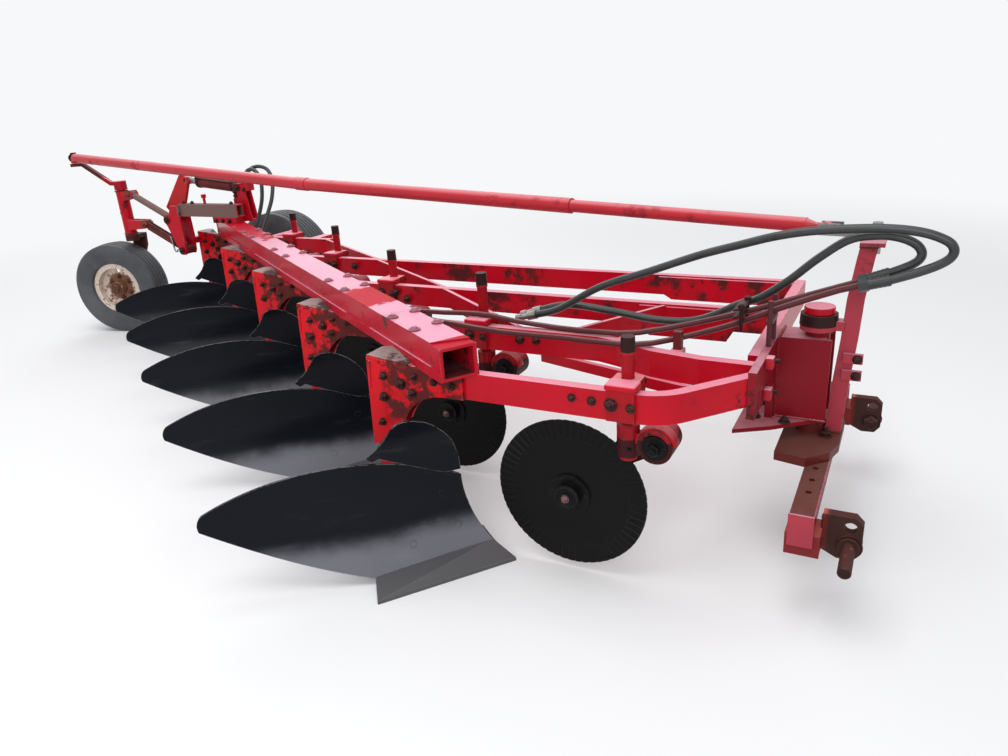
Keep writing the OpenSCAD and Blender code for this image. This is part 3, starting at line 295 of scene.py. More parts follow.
# Painted frame: bars, braces and clamps in one red enamel, brushed on over welded and bolted
# steel. Sun and rain have chalked the upper faces pink, and a painted pink sheen of the sky lies
# on them too. Oil and soil have darkened the sides round bolts and clamps.
def worn_enamel(name, deep, top_chalk_and_sheen, stain_and_shade_colour, chalk_and_sheen_amount, gloss, darkening=None, kept=None):
    """Deep colour, paled on top to chalk with a painted sheen of the sky, with grime and rusty
    chips.

    gloss is how smooth it has stayed. The darkening function adds grime, and for the beam's
    hollow painted shade; kept holds the deep colour, each where it gives a share above 0.
    """
    paint = Finish(name)
    clouds = paint.noise(3.2, 5)
    patches = paint.noise(9, 7, rough=0.65)
    grain = paint.noise(160, 3)
    up = paint.facing_up().ramp(0.35, 0.98)
    # Upward faces pale to the top colour in clouds: chalked paint and a painted sheen of the sky.
    chalked_and_sheened = up * (clouds * 1.1 + patches * 0.5 + (chalk_and_sheen_amount - 0.5)).ramp(0.28, 0.95)
    dull = 0
    if kept:
        unfaded = kept(paint, patches)
        chalked_and_sheened = chalked_and_sheened * (1 - unfaded)
        dull = unfaded * up * 0.38
    smuts = paint.noise(21, 7, rough=0.7)
    stain_and_shade = (patches * 0.45 + smuts * 0.45 + clouds * 0.35).ramp(0.68, 0.77) * (1 - up * 0.7)
    # The darkening function's share adds to the stains; for the beam it is painted shade on the
    # tube's inner floor.
    if darkening:
        stain_and_shade = (stain_and_shade + darkening(paint, patches)).ramp(0.0, 1.0)
    chips = (paint.noise(42, 6, rough=0.7) + paint.worn_edge(0.004) * 0.24).ramp(0.71, 0.78)
    shade = paint.mix(clouds, tuple(c * 0.75 for c in deep), tuple(c * 1.25 for c in deep))
    shade = paint.mix(chalked_and_sheened, shade, top_chalk_and_sheen)
    shade = paint.mix(stain_and_shade * 0.88, shade, stain_and_shade_colour)
    rust = paint.mix(grain, (0.09, 0.030, 0.015), (0.22, 0.085, 0.040))
    paint.give(
        Base_Color=paint.mix(chips, shade, rust),
        Roughness=(0.52 - gloss) + stain_and_shade * 0.25 + chips * 0.4 + chalked_and_sheened * 0.12 + dull,
        Normal=paint.bump(0.25, 0.0012, patches, grain * 0.25, 1 - chips * 0.8),
        Specular_IOR_Level=0.14)
    return paint.material


def dress(finish, *nodes):
    """Gives CAD nodes their finish, in every slot."""
    for node in nodes:
        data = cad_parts[node].data
        data.materials.clear()
        data.materials.append(finish)


# frame_pink is the upper faces' colour: chalk and a painted sheen of the sky together.
frame_red, frame_pink, soil_brown = (0.50, 0.004, 0.016), (0.76, 0.25, 0.33), (0.030, 0.013, 0.012)
red_enamel = worn_enamel("red_enamel", frame_red, frame_pink, soil_brown, 0.68, 0.24)
dress(red_enamel, "cross_braces", "land_bracket", "tail_head", "land_arm")


def oily_sides(share):
    """Grime on a bar's sides: the larger the share, the more of the red it hides."""
    def darkening(paint, patches):
        sides = 1 - paint.facing_up().ramp(0.3, 0.8)
        return (paint.noise(5, 7, rough=0.7) + patches * 0.3).ramp(0.80 - share,
                                                                   0.95 - share) * sides
    return darkening


for name, bars, share in (("near_bars", (1, 2), 0.06), ("far_bars", (3, 4, 5), 0.15)):
    bar_enamel = worn_enamel(name, frame_red, frame_pink, soil_brown, 0.68, 0.24,
                             oily_sides(share))
    dress(bar_enamel, *(f"bar_{k}" for k in bars))


# Beam and its cover plate: the widest upper faces, chalked and carrying a painted pink reflection
# of the sky nearly all over, with clear red left only in runs. The steering pipe has the same
# chalk and painted sheen. The beam runs past the standards, each a pitch behind and a cut beside
# the one ahead, in millimetres.
bottoms, bottom_pitch, bottom_cut = range(5), 712, 457.2
beam_bearing = pi - atan2(bottom_cut, bottom_pitch)


def hollow_painted_shade(paint, patches):
    """The tube's inner floor, painted dark as shade inside the hollow."""
    return paint.facing_up().ramp(0.3, 0.6) * (1 - paint.along("Z").ramp(0.70, 0.72))


def red_runs(paint, patches):
    """Where the beam's top is still red: its front end, a patch, and streaks at the rear."""
    zero = (first_standard[0] * cos(beam_bearing) + first_standard[1] * sin(beam_bearing)) / 1000
    along = paint.along("X") * cos(beam_bearing) + paint.along("Y") * sin(beam_bearing) - zero
    runs = (1 - (along - 0.42).size().ramp(0.10, 0.24)) * 0.45 + along.ramp(1.4, 2.6) * 0.45 \
        + (1 - along.ramp(-0.275, -0.245)) * 0.60
    return (paint.noise(9, 6, rough=0.7) + runs).ramp(0.78, 0.88)


# The beam's stain colour also serves as painted shade on the tube's inner floor.
beam_enamel = worn_enamel("beam_enamel", (0.48, 0.006, 0.022), (0.74, 0.28, 0.40), soil_brown,
                          0.78, 0.30, hollow_painted_shade, red_runs)
dress(beam_enamel, "main_beam", "beam_cap")
pipe_enamel = worn_enamel("pipe_enamel", (0.48, 0.028, 0.040), (0.66, 0.19, 0.21),
                          (0.26, 0.020, 0.030), 0.80, 0.20)
dress(pipe_enamel, "steering_pipe")


# Rear bracket and tail fork: red like the frame, but the long tube is worn to a grey-brown
# primer, and grease has blackened the fork's crown and lever. The upper link's rod is bare.
def bare_tube(paint, patches):
    """The bracket's long tube, without its cheeks and the blocks at its ends."""
    near = paint.along("X").ramp(-1.665, -1.655) * (1 - paint.along("X").ramp(-1.135, -1.125))
    low = paint.along("Z").ramp(0.832, 0.836) * (1 - paint.along("Z").ramp(0.916, 0.918))
    return near * low * (1 - paint.along("Y").ramp(0.785, 0.790))


def bare_rod(paint, patches):
    """All of the upper link but its bellcrank plate, which stands on the left."""
    return 1 - paint.along("Y").ramp(0.786, 0.795)


def greased_crown(paint, patches):
    """The fork's crown and the steering lever on top of it."""
    lever = (1 - paint.along("X").ramp(-2.320, -2.300)) * paint.along("Z").ramp(1.03, 1.05)
    return (1 - (paint.along("Z") + patches * 0.05).ramp(0.705, 0.735)) \
        * paint.along("Z").ramp(0.50, 0.60) + lever * 0.8


dress(worn_enamel("bracket_enamel", (0.47, 0.004, 0.016), (0.72, 0.24, 0.31),
                  (0.135, 0.115, 0.100), 0.6, 0.2, bare_tube), "rear_bracket")
dress(worn_enamel("fork_enamel", (0.36, 0.006, 0.016), (0.60, 0.20, 0.25),
                  (0.022, 0.020, 0.018), 0.6, 0.15, greased_crown), "tail_fork")
dress(worn_enamel("link_enamel", (0.46, 0.016, 0.018), (0.66, 0.22, 0.22),
                  (0.150, 0.125, 0.112), 0.6, 0.15, bare_rod), "upper_link")


# Standards and coulter posts: plates repainted scarlet. Oil and soil stick round the bolts in
# the cheeks' front part, and the gussets on top are grey with dust.
def joined(k):
    """How far a bottom lies behind and beside the first one, in millimetres."""
    return -bottom_pitch * k, bottom_cut * k


def soiled_cheeks(paint, patches):
    """The dark part of every standard: ahead of its rear edge and above its foot."""
    row = ((paint.along("Y") - first_standard[1] / 1000) * (1000 / bottom_cut)).round()
    ahead_of_ear = paint.along("X") + row * (bottom_pitch / 1000) - first_standard[0] / 1000
    spread = (paint.noise(17, 5, rough=0.65) * 1.4 + patches * 0.5
              + ahead_of_ear.ramp(0.02, 0.20) * 0.10).ramp(0.86, 1.06)
    return ahead_of_ear.ramp(0.0, 0.05) * paint.along("Z").ramp(0.43, 0.53) * spread


standard_enamel = worn_enamel("standard_enamel", (0.64, 0.003, 0.011), (0.26, 0.20, 0.19),
                              (0.028, 0.012, 0.010), 0.85, 0.22, soiled_cheeks)
dress(standard_enamel, *(f"standard_{k + 1}" for k in bottoms))
post_enamel = worn_enamel("post_enamel", (0.36, 0.006, 0.012), (0.70, 0.20, 0.22), soil_brown,
                          0.60, 0.18)
dress(post_enamel, "coulter_posts")


# Headstock, hitch and cylinders: the same enamel, older: dark crimson on the headstock, dull
# maroon on the mast, and worn to brown on the hitch bar and its brackets.
head_enamel = worn_enamel("head_enamel", (0.23, 0.006, 0.014), (0.56, 0.24, 0.29), soil_brown,
                          0.42, 0.14)
dress(head_enamel, "headstock")
mast_enamel = worn_enamel("mast_enamel", (0.40, 0.045, 0.065), (0.56, 0.26, 0.32),
                          (0.16, 0.030, 0.030), 0.60, 0.12)
dress(mast_enamel, "mast")
brown_enamel = worn_enamel("brown_enamel", (0.125, 0.018, 0.016), (0.15, 0.065, 0.052),
                           (0.024, 0.018, 0.012), 0.45, 0.08)
dress(brown_enamel, "hitch_bar", "lower_link", "lift_barrel", "land_barrel", "parking_stand")


def oiled_lugs(paint, patches):
    """Lugs blackened by oil; only the blocks that carry them are still red."""
    return paint.along("X").ramp(2.585, 2.61) * (paint.noise(14, 5) + 0.25).ramp(0.4, 0.6)


dress(worn_enamel("lug_enamel", (0.20, 0.018, 0.020), (0.48, 0.10, 0.09),
                  (0.024, 0.018, 0.014), 0.65, 0.10, oiled_lugs), "pin_brackets")
line_enamel = worn_enamel("line_enamel", (0.095, 0.026, 0.030), (0.24, 0.12, 0.12),
                          (0.030, 0.018, 0.016), 0.45, 0.12)
dress(line_enamel, "oil_lines")


# Moldboards and cover boards: hardened steel under gloss black paint. Their upper part is clean
# and deep; low down, the hollow face carries a painted blue-grey reflection of the sky, and the
# edges are bare.
def black_gloss(name, deep, low_sheen_and_dust, low_sheen_and_dust_share, roughness, sheen, edge_shade):
    """Black paint, turned below 0.2 m towards a low colour of painted sky sheen and dust, with its
    edges rubbed to edge_shade.
    """
    paint = Finish(name)
    clouds = paint.noise(2.6, 5)
    smears = paint.noise(11, 6, stretch=(0.3, 0.3, 1.4), rough=0.6)
    grain = paint.noise(210, 3)
    # Below about 0.2 m the colour turns to the low one: on the boards a painted reflection of the
    # sky in the hollow face, on cast parts a little dust.
    lower = 1 - (paint.along("Z") + clouds * 0.16).ramp(0.17, 0.27)
    sheen_dust_and_smears = (lower * low_sheen_and_dust_share + (smears * 0.8).ramp(0.42, 0.62) * 0.22).ramp(0.0, 1.0)
    edge = paint.worn_edge(0.003) * paint.noise(60, 4).ramp(0.34, 0.52)
    shade = paint.mix(clouds, deep, tuple(c * 2.2 + 0.001 for c in deep))
    shade = paint.mix(sheen_dust_and_smears, shade, low_sheen_and_dust)
    paint.give(
        Base_Color=paint.mix(edge, shade, edge_shade),
        Roughness=roughness + sheen_dust_and_smears * 0.20 + clouds * 0.08,
        Specular_IOR_Level=sheen,
        Normal=paint.bump(0.12, 0.0008, clouds, smears * 0.4, grain * 0.15))
    return paint.material


# On the boards the blue-grey below 0.2 m is a painted reflection of the sky.
board_black = black_gloss("board_black", (0.0028, 0.0034, 0.0058), (0.165, 0.165, 0.190), 0.80,
                          0.17, 0.11, (0.30, 0.29, 0.285))
dress(board_black, "cover_boards", *(f"moldboard_{k + 1}" for k in bottoms))
share_black = black_gloss("share_black", (0.012, 0.012, 0.014), (0.12, 0.115, 0.12), 0.65,
                          0.30, 0.20, (0.30, 0.29, 0.285))
dress(share_black, "shares")


# Frogs, landsides, coulter arms and discs: cast and forged steel under black paint, dry and a
# little brown. The swivel's socket keeps the post's red.
cast_black = black_gloss("cast_black", (0.0034, 0.0030, 0.0034), (0.022, 0.018, 0.016), 0.15,
                         0.30, 0.09, (0.035, 0.032, 0.032))
dress(cast_black, "frogs", *(f"coulter_disc_{k + 1}" for k in bottoms))


def black_below(paint, patches):
    """The arm under the swivel's socket."""
    return 1 - (paint.along("Z") + patches * 0.02).ramp(0.536, 0.546)


swivel_enamel = worn_enamel("swivel_enamel", (0.30, 0.005, 0.012), (0.50, 0.12, 0.15),
                            (0.006, 0.005, 0.005), 0.5, 0.24, black_below)
dress(swivel_enamel, *(f"coulter_arm_{k + 1}" for k in bottoms))


# Bare steel: cylinder rods, the steering pipe's clevis and the hose couplings. They were never
# painted, and are wiped bright by use and browned by rain.
bare = Finish("bare_steel")
bare_streaks = bare.noise(30, 5, stretch=(1, 1, 0.2))
bare_rust = bare.noise(18, 7, rough=0.7).ramp(0.55, 0.75)
bare.give(
    Base_Color=bare.mix(bare_rust * 0.8, bare.mix(bare_streaks, (0.20, 0.19, 0.185),
                                                  (0.42, 0.40, 0.385)), (0.16, 0.075, 0.035)),
    Metallic=1 - bare_rust, Roughness=bare_streaks * 0.25 + bare_rust * 0.3 + 0.25,
    Normal=bare.bump(0.2, 0.0006, bare_streaks, bare_rust))
dress(bare.material, "lift_rod", "land_rod", "pipe_clevis", "hose_tip_1", "hose_tip_2")


# Hose rubber: black cover over braided wire, glossy from handling and greyed in clouds where it
# has lain in the sun.
rubber = Finish("hose_black")
rubber_marks = rubber.noise(26, 5)
rubber.give(
    Base_Color=rubber.mix(rubber_marks, (0.008, 0.009, 0.010), (0.040, 0.042, 0.042)),
    Roughness=rubber_marks * 0.2 + 0.24,
    Normal=rubber.bump(0.15, 0.0005, rubber.noise(320, 3)))
for hose in rubber_hoses:
    hose.data.materials.append(rubber.material)


# Bolts: hexagon heads on washers, and nuts with the bolt's end standing out. They hold
# cheeks, clamps, plates and hubs, and carry the paint, soil and rust of their surroundings.
def facing(place, towards):
    """Turns a shape drawn along Z to face a way, at a place."""
    return Matrix.Translation(place) @ Vector(towards).to_track_quat("Z", "Y").to_matrix(
        ).to_4x4()


def disc(steel, place, towards, radius, height, sides=20, top=None):
    """A round or many-sided lump standing on a surface, narrowed to top."""
    bmesh.ops.create_cone(
        steel, cap_ends=True, segments=sides, radius1=radius,
        radius2=radius if top is None else top, depth=height,
        matrix=facing(Vector(place) + Vector(towards) * (height / 2), towards))


def bolt(steel, place, towards, across, end=0.0):
    """Head or nut of a size across its flats; end is how far the bolt stands out of a nut."""
    towards = Vector(towards).normalized()
    place = Vector(place)
    disc(steel, place, towards, across * 0.74, across * 0.10)
    corner = across * 0.577
    disc(steel, place + towards * across * 0.10, towards, corner, across * 0.40, 6)
    disc(steel, place + towards * across * 0.50, towards, corner * 0.96, across * 0.10, 6,
         corner * 0.80)
    if end:
        disc(steel, place + towards * across * 0.60, towards, across * 0.31, end, 12,
             across * 0.27)


def made(name, steel, body, finish):
    """Turns a workpiece into an object of the machine, smooth but for its corners."""
    bmesh.ops.recalc_face_normals(steel, faces=steel.faces)
    for face in steel.faces:
        face.smooth = True
    for edge in steel.edges:
        edge.smooth = edge.is_manifold and edge.calc_face_angle() < 0.6
    data = bpy.data.meshes.new(name)
    steel.to_mesh(data)
    steel.free()
    data.materials.append(finish)
    thing = bpy.data.objects.new(name, data)
    bpy.context.scene.collection.objects.link(thing)
    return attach(thing, body)


bolt_black = worn_enamel("bolt_black", (0.028, 0.009, 0.009), (0.085, 0.040, 0.042),
                         (0.012, 0.008, 0.007), 0.45, 0.08)
right, left, up, forward = (0, -1, 0), (0, 1, 0), (0, 0, 1), (1, 0, 0)

# x and z of each cheek bolt from its standard, and its size across flats
cheek_bolts = ((30, 645, 21), (97, 626, 27), (152, 657, 18), (139, 598, 22), (24, 571, 25),
               (4, 477, 20), (226, 646, 18), (292, 640, 20))
steel = bmesh.new()
for k in bottoms:
    back, side = joined(k)
    for x, z, across in cheek_bolts:
        bolt(steel, from_standard(x + back, side - 31, z), right, across / 1000, 0.008)
        bolt(steel, from_standard(x + back, side + 31, z), left, across / 1000)
made("standard_bolts", steel, "frame", bolt_black)


# Beam top: two rows of domed steel bolt heads on washers hold the cover plate to the box beam,
# painted over in red and bleached with it.
def on_beam(along, across, z):
    """Place given along and across the beam, from the first standard."""
    return from_standard(along * cos(beam_bearing) - across * sin(beam_bearing),
                         along * sin(beam_bearing) + across * cos(beam_bearing), z)


steel = bmesh.new()
for along in (-105, 81, 590, 800, 1490, 1720, 2230, 2450, 3010):
    for shift, across in ((0, -90), (25, -184)):
        disc(steel, on_beam(along + shift, across, 797), up, 0.021, 0.004, 16)
        disc(steel, on_beam(along + shift, across, 801), up, 0.017, 0.008, 16, 0.009)
made("beam_top_bolts", steel, "frame",
     worn_enamel("beam_bolt_red", (0.24, 0.03, 0.05), (0.34, 0.16, 0.21), soil_brown, 0.7, 0.2))


# Bar bolts: rows of bolts through the bars' sides, where coulters, jointers and braces have
# been clamped on over the years. They sit in dark oil. A row of the table is a bar, half its
# thickness there, and each bolt's x, z and size across flats.
bar_half = 19
bar_bolts = (
    (0, bar_half, ((694, 652, 18), (756, 650, 20))),
    (1, bar_half, ((560, 655, 22), (700, 652, 26), (1010, 650, 26), (1075, 650, 22))),
    (2, 31, ((640, 655, 26), (700, 628, 26), (860, 655, 26), (920, 628, 26))),
    (3, 35, ((600, 650, 26), (690, 650, 26), (840, 650, 30), (980, 650, 26))),
    (4, bar_half, ((700, 650, 24), (560, 655, 24))))
steel = bmesh.new()
for k, half, bolts in bar_bolts:
    back, side = joined(k)
    for x, z, across in bolts:
        bolt(steel, from_standard(x + back, side - half, z), right, across / 1000, 0.006)
        if half == bar_half:
            bolt(steel, from_standard(x + back, side + half, z), left, across / 1000)
made("bar_bolts", steel, "frame", bolt_black)


# Coulter clamps: every post is held to its bar by two plates and four studs with nuts. A
# collar closes the post's top, and the clamp's saddle is bent over the bar.
def edged_block(steel, place, size, edge, steps=2, lean=0.0):
    """A block with rounded edges, tipped about the Y axis by lean."""
    block = bmesh.ops.create_cube(steel, size=1, matrix=Matrix.Translation(place)
                                  @ Matrix.Rotation(lean, 4, "Y") @ Matrix.Diagonal((*size, 1)))
    bmesh.ops.bevel(steel, geom=list({e for v in block["verts"] for e in v.link_edges}),
                    offset=edge, segments=steps, profile=0.5, affect="EDGES", material=-1)


post_places = [(845 + shift, top) for shift, top in
               ((0, 835), (-12, 872), (-38, 835), (-32, 850), (-48, 835))]
steel, caps = bmesh.new(), bmesh.new()
for k, (x, top) in enumerate(post_places):
    back, side = joined(k)
    bolt(steel, from_standard(x + back - 26, side - 33, 652), right, 0.028, 0.006)
    bolt(steel, from_standard(x + back + 32, side - 33, 648), right, 0.020, 0.006)
    for dx in (-31, 31):
        for z in (618, 694):
            bolt(steel, from_standard(x + back + dx, side + 70, z), left, 0.020, 0.006)
    disc(steel, from_standard(x + back, side + 40, top - 44), up, 0.0212, 0.045, 28, 0.0205)
    disc(caps, from_standard(x + back, side + 40, top - 51), up, 0.0216, 0.007, 28)
    edged_block(caps, from_standard(x + back, side - 6, 703), (0.094, 0.062, 0.022), 0.009, 4)
made("coulter_clamp_nuts", steel, "frame", bolt_black)
made("coulter_saddles", caps, "frame", red_enamel)


# Coulter swivels: a forged red fork, bent over the black drum that lets the arm swing. A
# castle nut and a grease nipple close the drum, and a rusty nut holds the disc's axle.
def forged_band(steel, centre, radii, sides, angles, steps):
    """A strap of even section, bent round an axis that runs across the travel."""
    inner, outer = radii
    first, last = angles
    base = [steel.verts.new(from_standard(
        centre[0] + r * cos(radians(first)), y, centre[2] + r * sin(radians(first))))
        for r, y in ((inner, sides[0]), (outer, sides[0]), (outer, sides[1]), (inner, sides[1]))]
    start = steel.faces.new(base)
    bmesh.ops.spin(steel, geom=[start, *start.edges, *start.verts],
                   cent=from_standard(*centre), axis=(0, 1, 0),
                   angle=-radians(last - first), steps=steps)
    bmesh.ops.bevel(steel, geom=[e for e in steel.edges if len(e.link_faces) == 2
                                 and e.calc_face_angle() > 1], offset=0.003, segments=2,
                    profile=0.5, affect="EDGES", material=-1)


rusty_pink = worn_enamel("nut_pink", (0.15, 0.070, 0.075), (0.30, 0.19, 0.20), soil_brown,
                         0.7, 0.2)
for k, (x, top) in enumerate(post_places):
    back, side = joined(k)
    steel = bmesh.new()
    drum = (x + back + 86, side + 40, 512)
    forged_band(steel, drum, (53, 62), (side + 20, side + 62), (8, 178), 16)
    made(f"coulter_fork_{k + 1}", steel, f"coulter_arm_{k + 1}", post_enamel)
    steel = bmesh.new()
    face = side + 18
    disc(steel, from_standard(drum[0], face, drum[2]), right, 0.040, 0.006, 28, 0.037)
    bolt(steel, from_standard(drum[0], face - 6, drum[2]), right, 0.034, 0.008)
    disc(steel, from_standard(drum[0] + 30, face - 3, drum[2] + 8), right, 0.005, 0.010, 8, 0.003)
    bolt(steel, from_standard(x + back + 10, side + 22, 500), right, 0.020, 0.006)
    hub = (x + back - 205, side + 70, 280)
    disc(steel, from_standard(hub[0], hub[1] - 40, hub[2]), right, 0.020, 0.004, 24)
    made(f"coulter_arm_bolts_{k + 1}", steel, f"coulter_arm_{k + 1}",
         cast_black)
    steel = bmesh.new()
    bolt(steel, from_standard(hub[0], hub[1] - 43, hub[2]), right, 0.019, 0.004)
    made(f"coulter_axle_nut_{k + 1}", steel, f"coulter_arm_{k + 1}",
         rusty_pink)
    steel = bmesh.new()
    for turn in range(6):
        a = turn * pi / 3
        disc(steel, from_standard(hub[0] + 55 * cos(a), hub[1] - 12, hub[2] + 55 * sin(a)),
             right, 0.008, 0.003, 14, 0.006)
        bolt(steel, from_standard(hub[0] + 55 * cos(a), hub[1] + 12, hub[2] + 55 * sin(a)),
             left, 0.014)
    disc(steel, from_standard(hub[0], hub[1] - 34, hub[2]), right, 0.036, 0.004, 32, 0.030)
    made(f"coulter_hub_bolts_{k + 1}", steel, f"coulter_disc_{k + 1}",
         cast_black)


# Moldboard bolts: plough bolts with flat round heads, let into the board from the front and
# painted over with it. Only their outline shows.
board_radius, board_turn = 430, radians(42)
board_axis = (251 + board_radius * sin(board_turn), 19 - board_radius * cos(board_turn))
axis_turn = pi + board_turn


def on_board(t, z, proud):
    """Place proud of a moldboard's hollow face, t back from its shin, and the way it faces."""
    deep = sqrt(board_radius ** 2 - (z - 300) ** 2)
    place = (t, -deep + proud)
    face = Vector((0, deep, 300 - z)).normalized()
    return ((board_axis[0] + place[0] * cos(axis_turn) - place[1] * sin(axis_turn),
             board_axis[1] + place[0] * sin(axis_turn) + place[1] * cos(axis_turn), z),
            (-face.y * sin(axis_turn), face.y * cos(axis_turn), face.z))


steel = bmesh.new()
for k in bottoms:
    back, side = joined(k)
    for t, z in ((20, 130), (60, 240), (110, 150), (180, 95), (96, 330)):
        place, face = on_board(t, z, 0.2)
        disc(steel, from_standard(place[0] + back, place[1] + side, place[2]), face, 0.0125,
             0.0010, 24, 0.0115)
# The bolts carry the boards' painted sky reflection low down, with dark edges.
made("board_bolts", steel, "frame",
     black_gloss("board_bolt_black", (0.0028, 0.0034, 0.0058), (0.165, 0.165, 0.190), 0.80,
                 0.17, 0.11, (0.035, 0.035, 0.042)))


# Headstock and hitch fixings: square-headed bolts through the cross plate, the kingpin's nut
# and its red cup, and the nuts at the mast's foot.
kingpin_x, hitch_y = 1284, 610
cross_plate_bolts = ((343, 690), (340, 591))
steel = bmesh.new()
for y, z in cross_plate_bolts:
    edged_block(steel, from_standard(1184, y, z), (0.024, 0.036, 0.036), 0.004)
made("cross_plate_heads", steel, "frame",
     worn_enamel("bolt_pink", (0.42, 0.02, 0.035), (0.72, 0.34, 0.40), soil_brown, 0.9, 0.2))
steel = bmesh.new()
for y, z in cross_plate_bolts:
    bolt(steel, from_standard(1172, y + 36, z - 6), forward, 0.026, 0.020)
for y in (505, 700):
    for z in (600, 660):
        bolt(steel, from_standard(1148, y, z), (-1, 0, 0), 0.028, 0.010)
for x, y, z in ((1120, 520, 430), (1120, 640, 430), (1215, 505, 430), (1215, 715, 430)):
    bolt(steel, from_standard(x, y, z), up, 0.026, 0.006)
made("headstock_bolts", steel, "frame", bolt_black)

steel = bmesh.new()
disc(steel, from_standard(kingpin_x, hitch_y, 741), up, 0.0580, 0.036, 40, 0.0565)
for y in (561, 661):
    bolt(steel, from_standard(1338, y, 375), up, 0.030, 0.012)
for z in (584, 640):
    bolt(steel, from_standard(1408, 584, z), right, 0.020, 0.004)
made("kingpin_nut", steel, "hitch", bolt_black)
steel = bmesh.new()
rim = [(0.0, 0.777), (0.044, 0.777), (0.047, 0.780), (0.047, 0.7955), (0.0455, 0.7995),
       (0.042, 0.7975), (0.0, 0.7955)]
centre = from_standard(kingpin_x, hitch_y, 0)
edge = [steel.verts.new((centre.x + r, centre.y, z)) for r, z in rim]
for a, b in zip(edge, edge[1:]):
    steel.edges.new((a, b))
bmesh.ops.spin(steel, geom=[*steel.verts, *steel.edges], cent=centre, axis=(0, 0, 1),
               angle=2 * pi, steps=32, use_merge=True)
bmesh.ops.remove_doubles(steel, verts=steel.verts, dist=0.0001)
made("kingpin_cup", steel, "hitch", red_enamel)


# Lower-link pins: a worn washer under each collar, a chamfered tip, and a big nut that holds
# the pin in its lug.
for side, out in ((-1, right), (1, left)):
    steel = bmesh.new()
    for reach, radius, high, top in ((470.5, 0.037, 0.004, 0.036), (607.5, 0.0175, 0.003, 0.015)):
        disc(steel, from_standard(1457, hitch_y + side * reach, 238), out, radius, high, 28, top)
    bolt(steel, from_standard(1457, hitch_y + side * 438.5, 238), (0, -side, 0), 0.046, 0.006)
    made(f"link_pin_washers_{'right' if side < 0 else 'left'}", steel, "hitch",
         bolt_black)


# Welds: ripples of weld metal along the joints of headstock, mast, hitch bar, beam and cheeks,
# laid by hand in short overlapping drops and painted over. Thin plates close the bar's ends.
def weld(steel, start, end, size, placed=from_standard):
    """A row of weld drops between two places given in millimetres."""
    start, end = placed(*start), placed(*end)
    count = max(2, round((end - start).length / (size * 0.75)))
    for i in range(count + 1):
        swell = 1 + 0.12 * sin(i * 2.4)
        bmesh.ops.create_icosphere(
            steel, subdivisions=1, radius=size * swell,
            matrix=Matrix.Translation(start.lerp(end, i / count)))


steel = bmesh.new()
for y in (550, 670):
    weld(steel, (1174, y, 436), (1174, y, 702), 0.006)
for y in (548, 672):
    weld(steel, (1180, y, 430), (1330, y, 430), 0.006)
weld(steel, (1176, 556, 706), (1176, 664, 706), 0.006)
weld(steel, (1148, 420, 560), (1148, 206, 560), 0.005)
made("headstock_welds", steel, "frame", head_enamel)
steel = bmesh.new()
for y in (598, 622):
    weld(steel, (1333, y, 376), (1379, y, 376), 0.006)
    weld(steel, (1384, y, 992), (1430, y, 992), 0.005)
for side in (-1, 1):
    end, lug = hitch_y + side * 529, hitch_y + side * 471
    weld(steel, (1302, end, 284), (1363, end, 284), 0.006)
    weld(steel, (1385, lug, 222), (1385, lug, 326), 0.006)
made("hitch_welds", steel, "hitch", brown_enamel)
# Fine beads along the hitch bar's front-top edge: a worn edge with a painted highlight, made bright
# by the enamel's pale tops.
steel = bmesh.new()
for side in (-1, 1):
    weld(steel, (1366, hitch_y + side * 168, 345), (1366, hitch_y + side * 528, 345), 0.003)
made("hitch_bar_bright_edge", steel, "hitch", head_enamel)
steel = bmesh.new()
for side in (-1, 1):
    edged_block(steel, from_standard(1332.5, hitch_y + side * 533, 297), (0.070, 0.008, 0.100),
                0.002)
made("hitch_bar_ends", steel, "hitch", mast_enamel)
steel = bmesh.new()
for along in (-329, 3259):
    for across in (-73, -193):
        weld(steel, (along, across, 690), (along, across, 788), 0.004, on_beam)
for k in bottoms:
    back, side = joined(k)
    for face in (-31, 31):
        weld(steel, (back - 30, side + face, 600), (back - 22, side + face, 690), 0.004)
    for x in (20, 128):
        weld(steel, (back + x, side - 20, 688), (back + x, side + 19, 688), 0.004)
made("beam_welds", steel, "frame", red_enamel)


# Hose ferrules: the front hoses end in crimped sleeves with swivel nuts, screwed on the oil
# lines' ends, and a clamp with two bolts ties hoses and lines to the headstock.
steel = bmesh.new()
for near, far in (((1424.3, 470, 912.1), (1473, 470, 925.5)),
                  ((1422.3, 505, 919.1), (1471, 505, 938.5))):
    near, far = from_standard(*near), from_standard(*far)
    along = (far - near).normalized()
    disc(steel, near - along * 0.030, along, 0.0205, 0.026, 6)
    disc(steel, near - along * 0.004, along, 0.0165, 0.004, 24)
    for ring in range(5):
        disc(steel, near + along * 0.011 * ring, along, 0.0168, 0.009, 24)
        disc(steel, near + along * (0.011 * ring + 0.009), along, 0.0155, 0.002, 24)
made("hose_ferrules", steel, "frame", rubber.material)
steel = bmesh.new()
for z in (794, 818):
    edged_block(steel, from_standard(1066, 488, z), (0.034, 0.104, 0.007), 0.002, lean=-0.26)
for y in (440, 536):
    disc(steel, from_standard(1075, y, 748), up, 0.006, 0.088, 12)
    disc(steel, from_standard(1075, y, 824), up, 0.0115, 0.010, 6)
made("oil_line_clamp", steel, "frame", bolt_black)


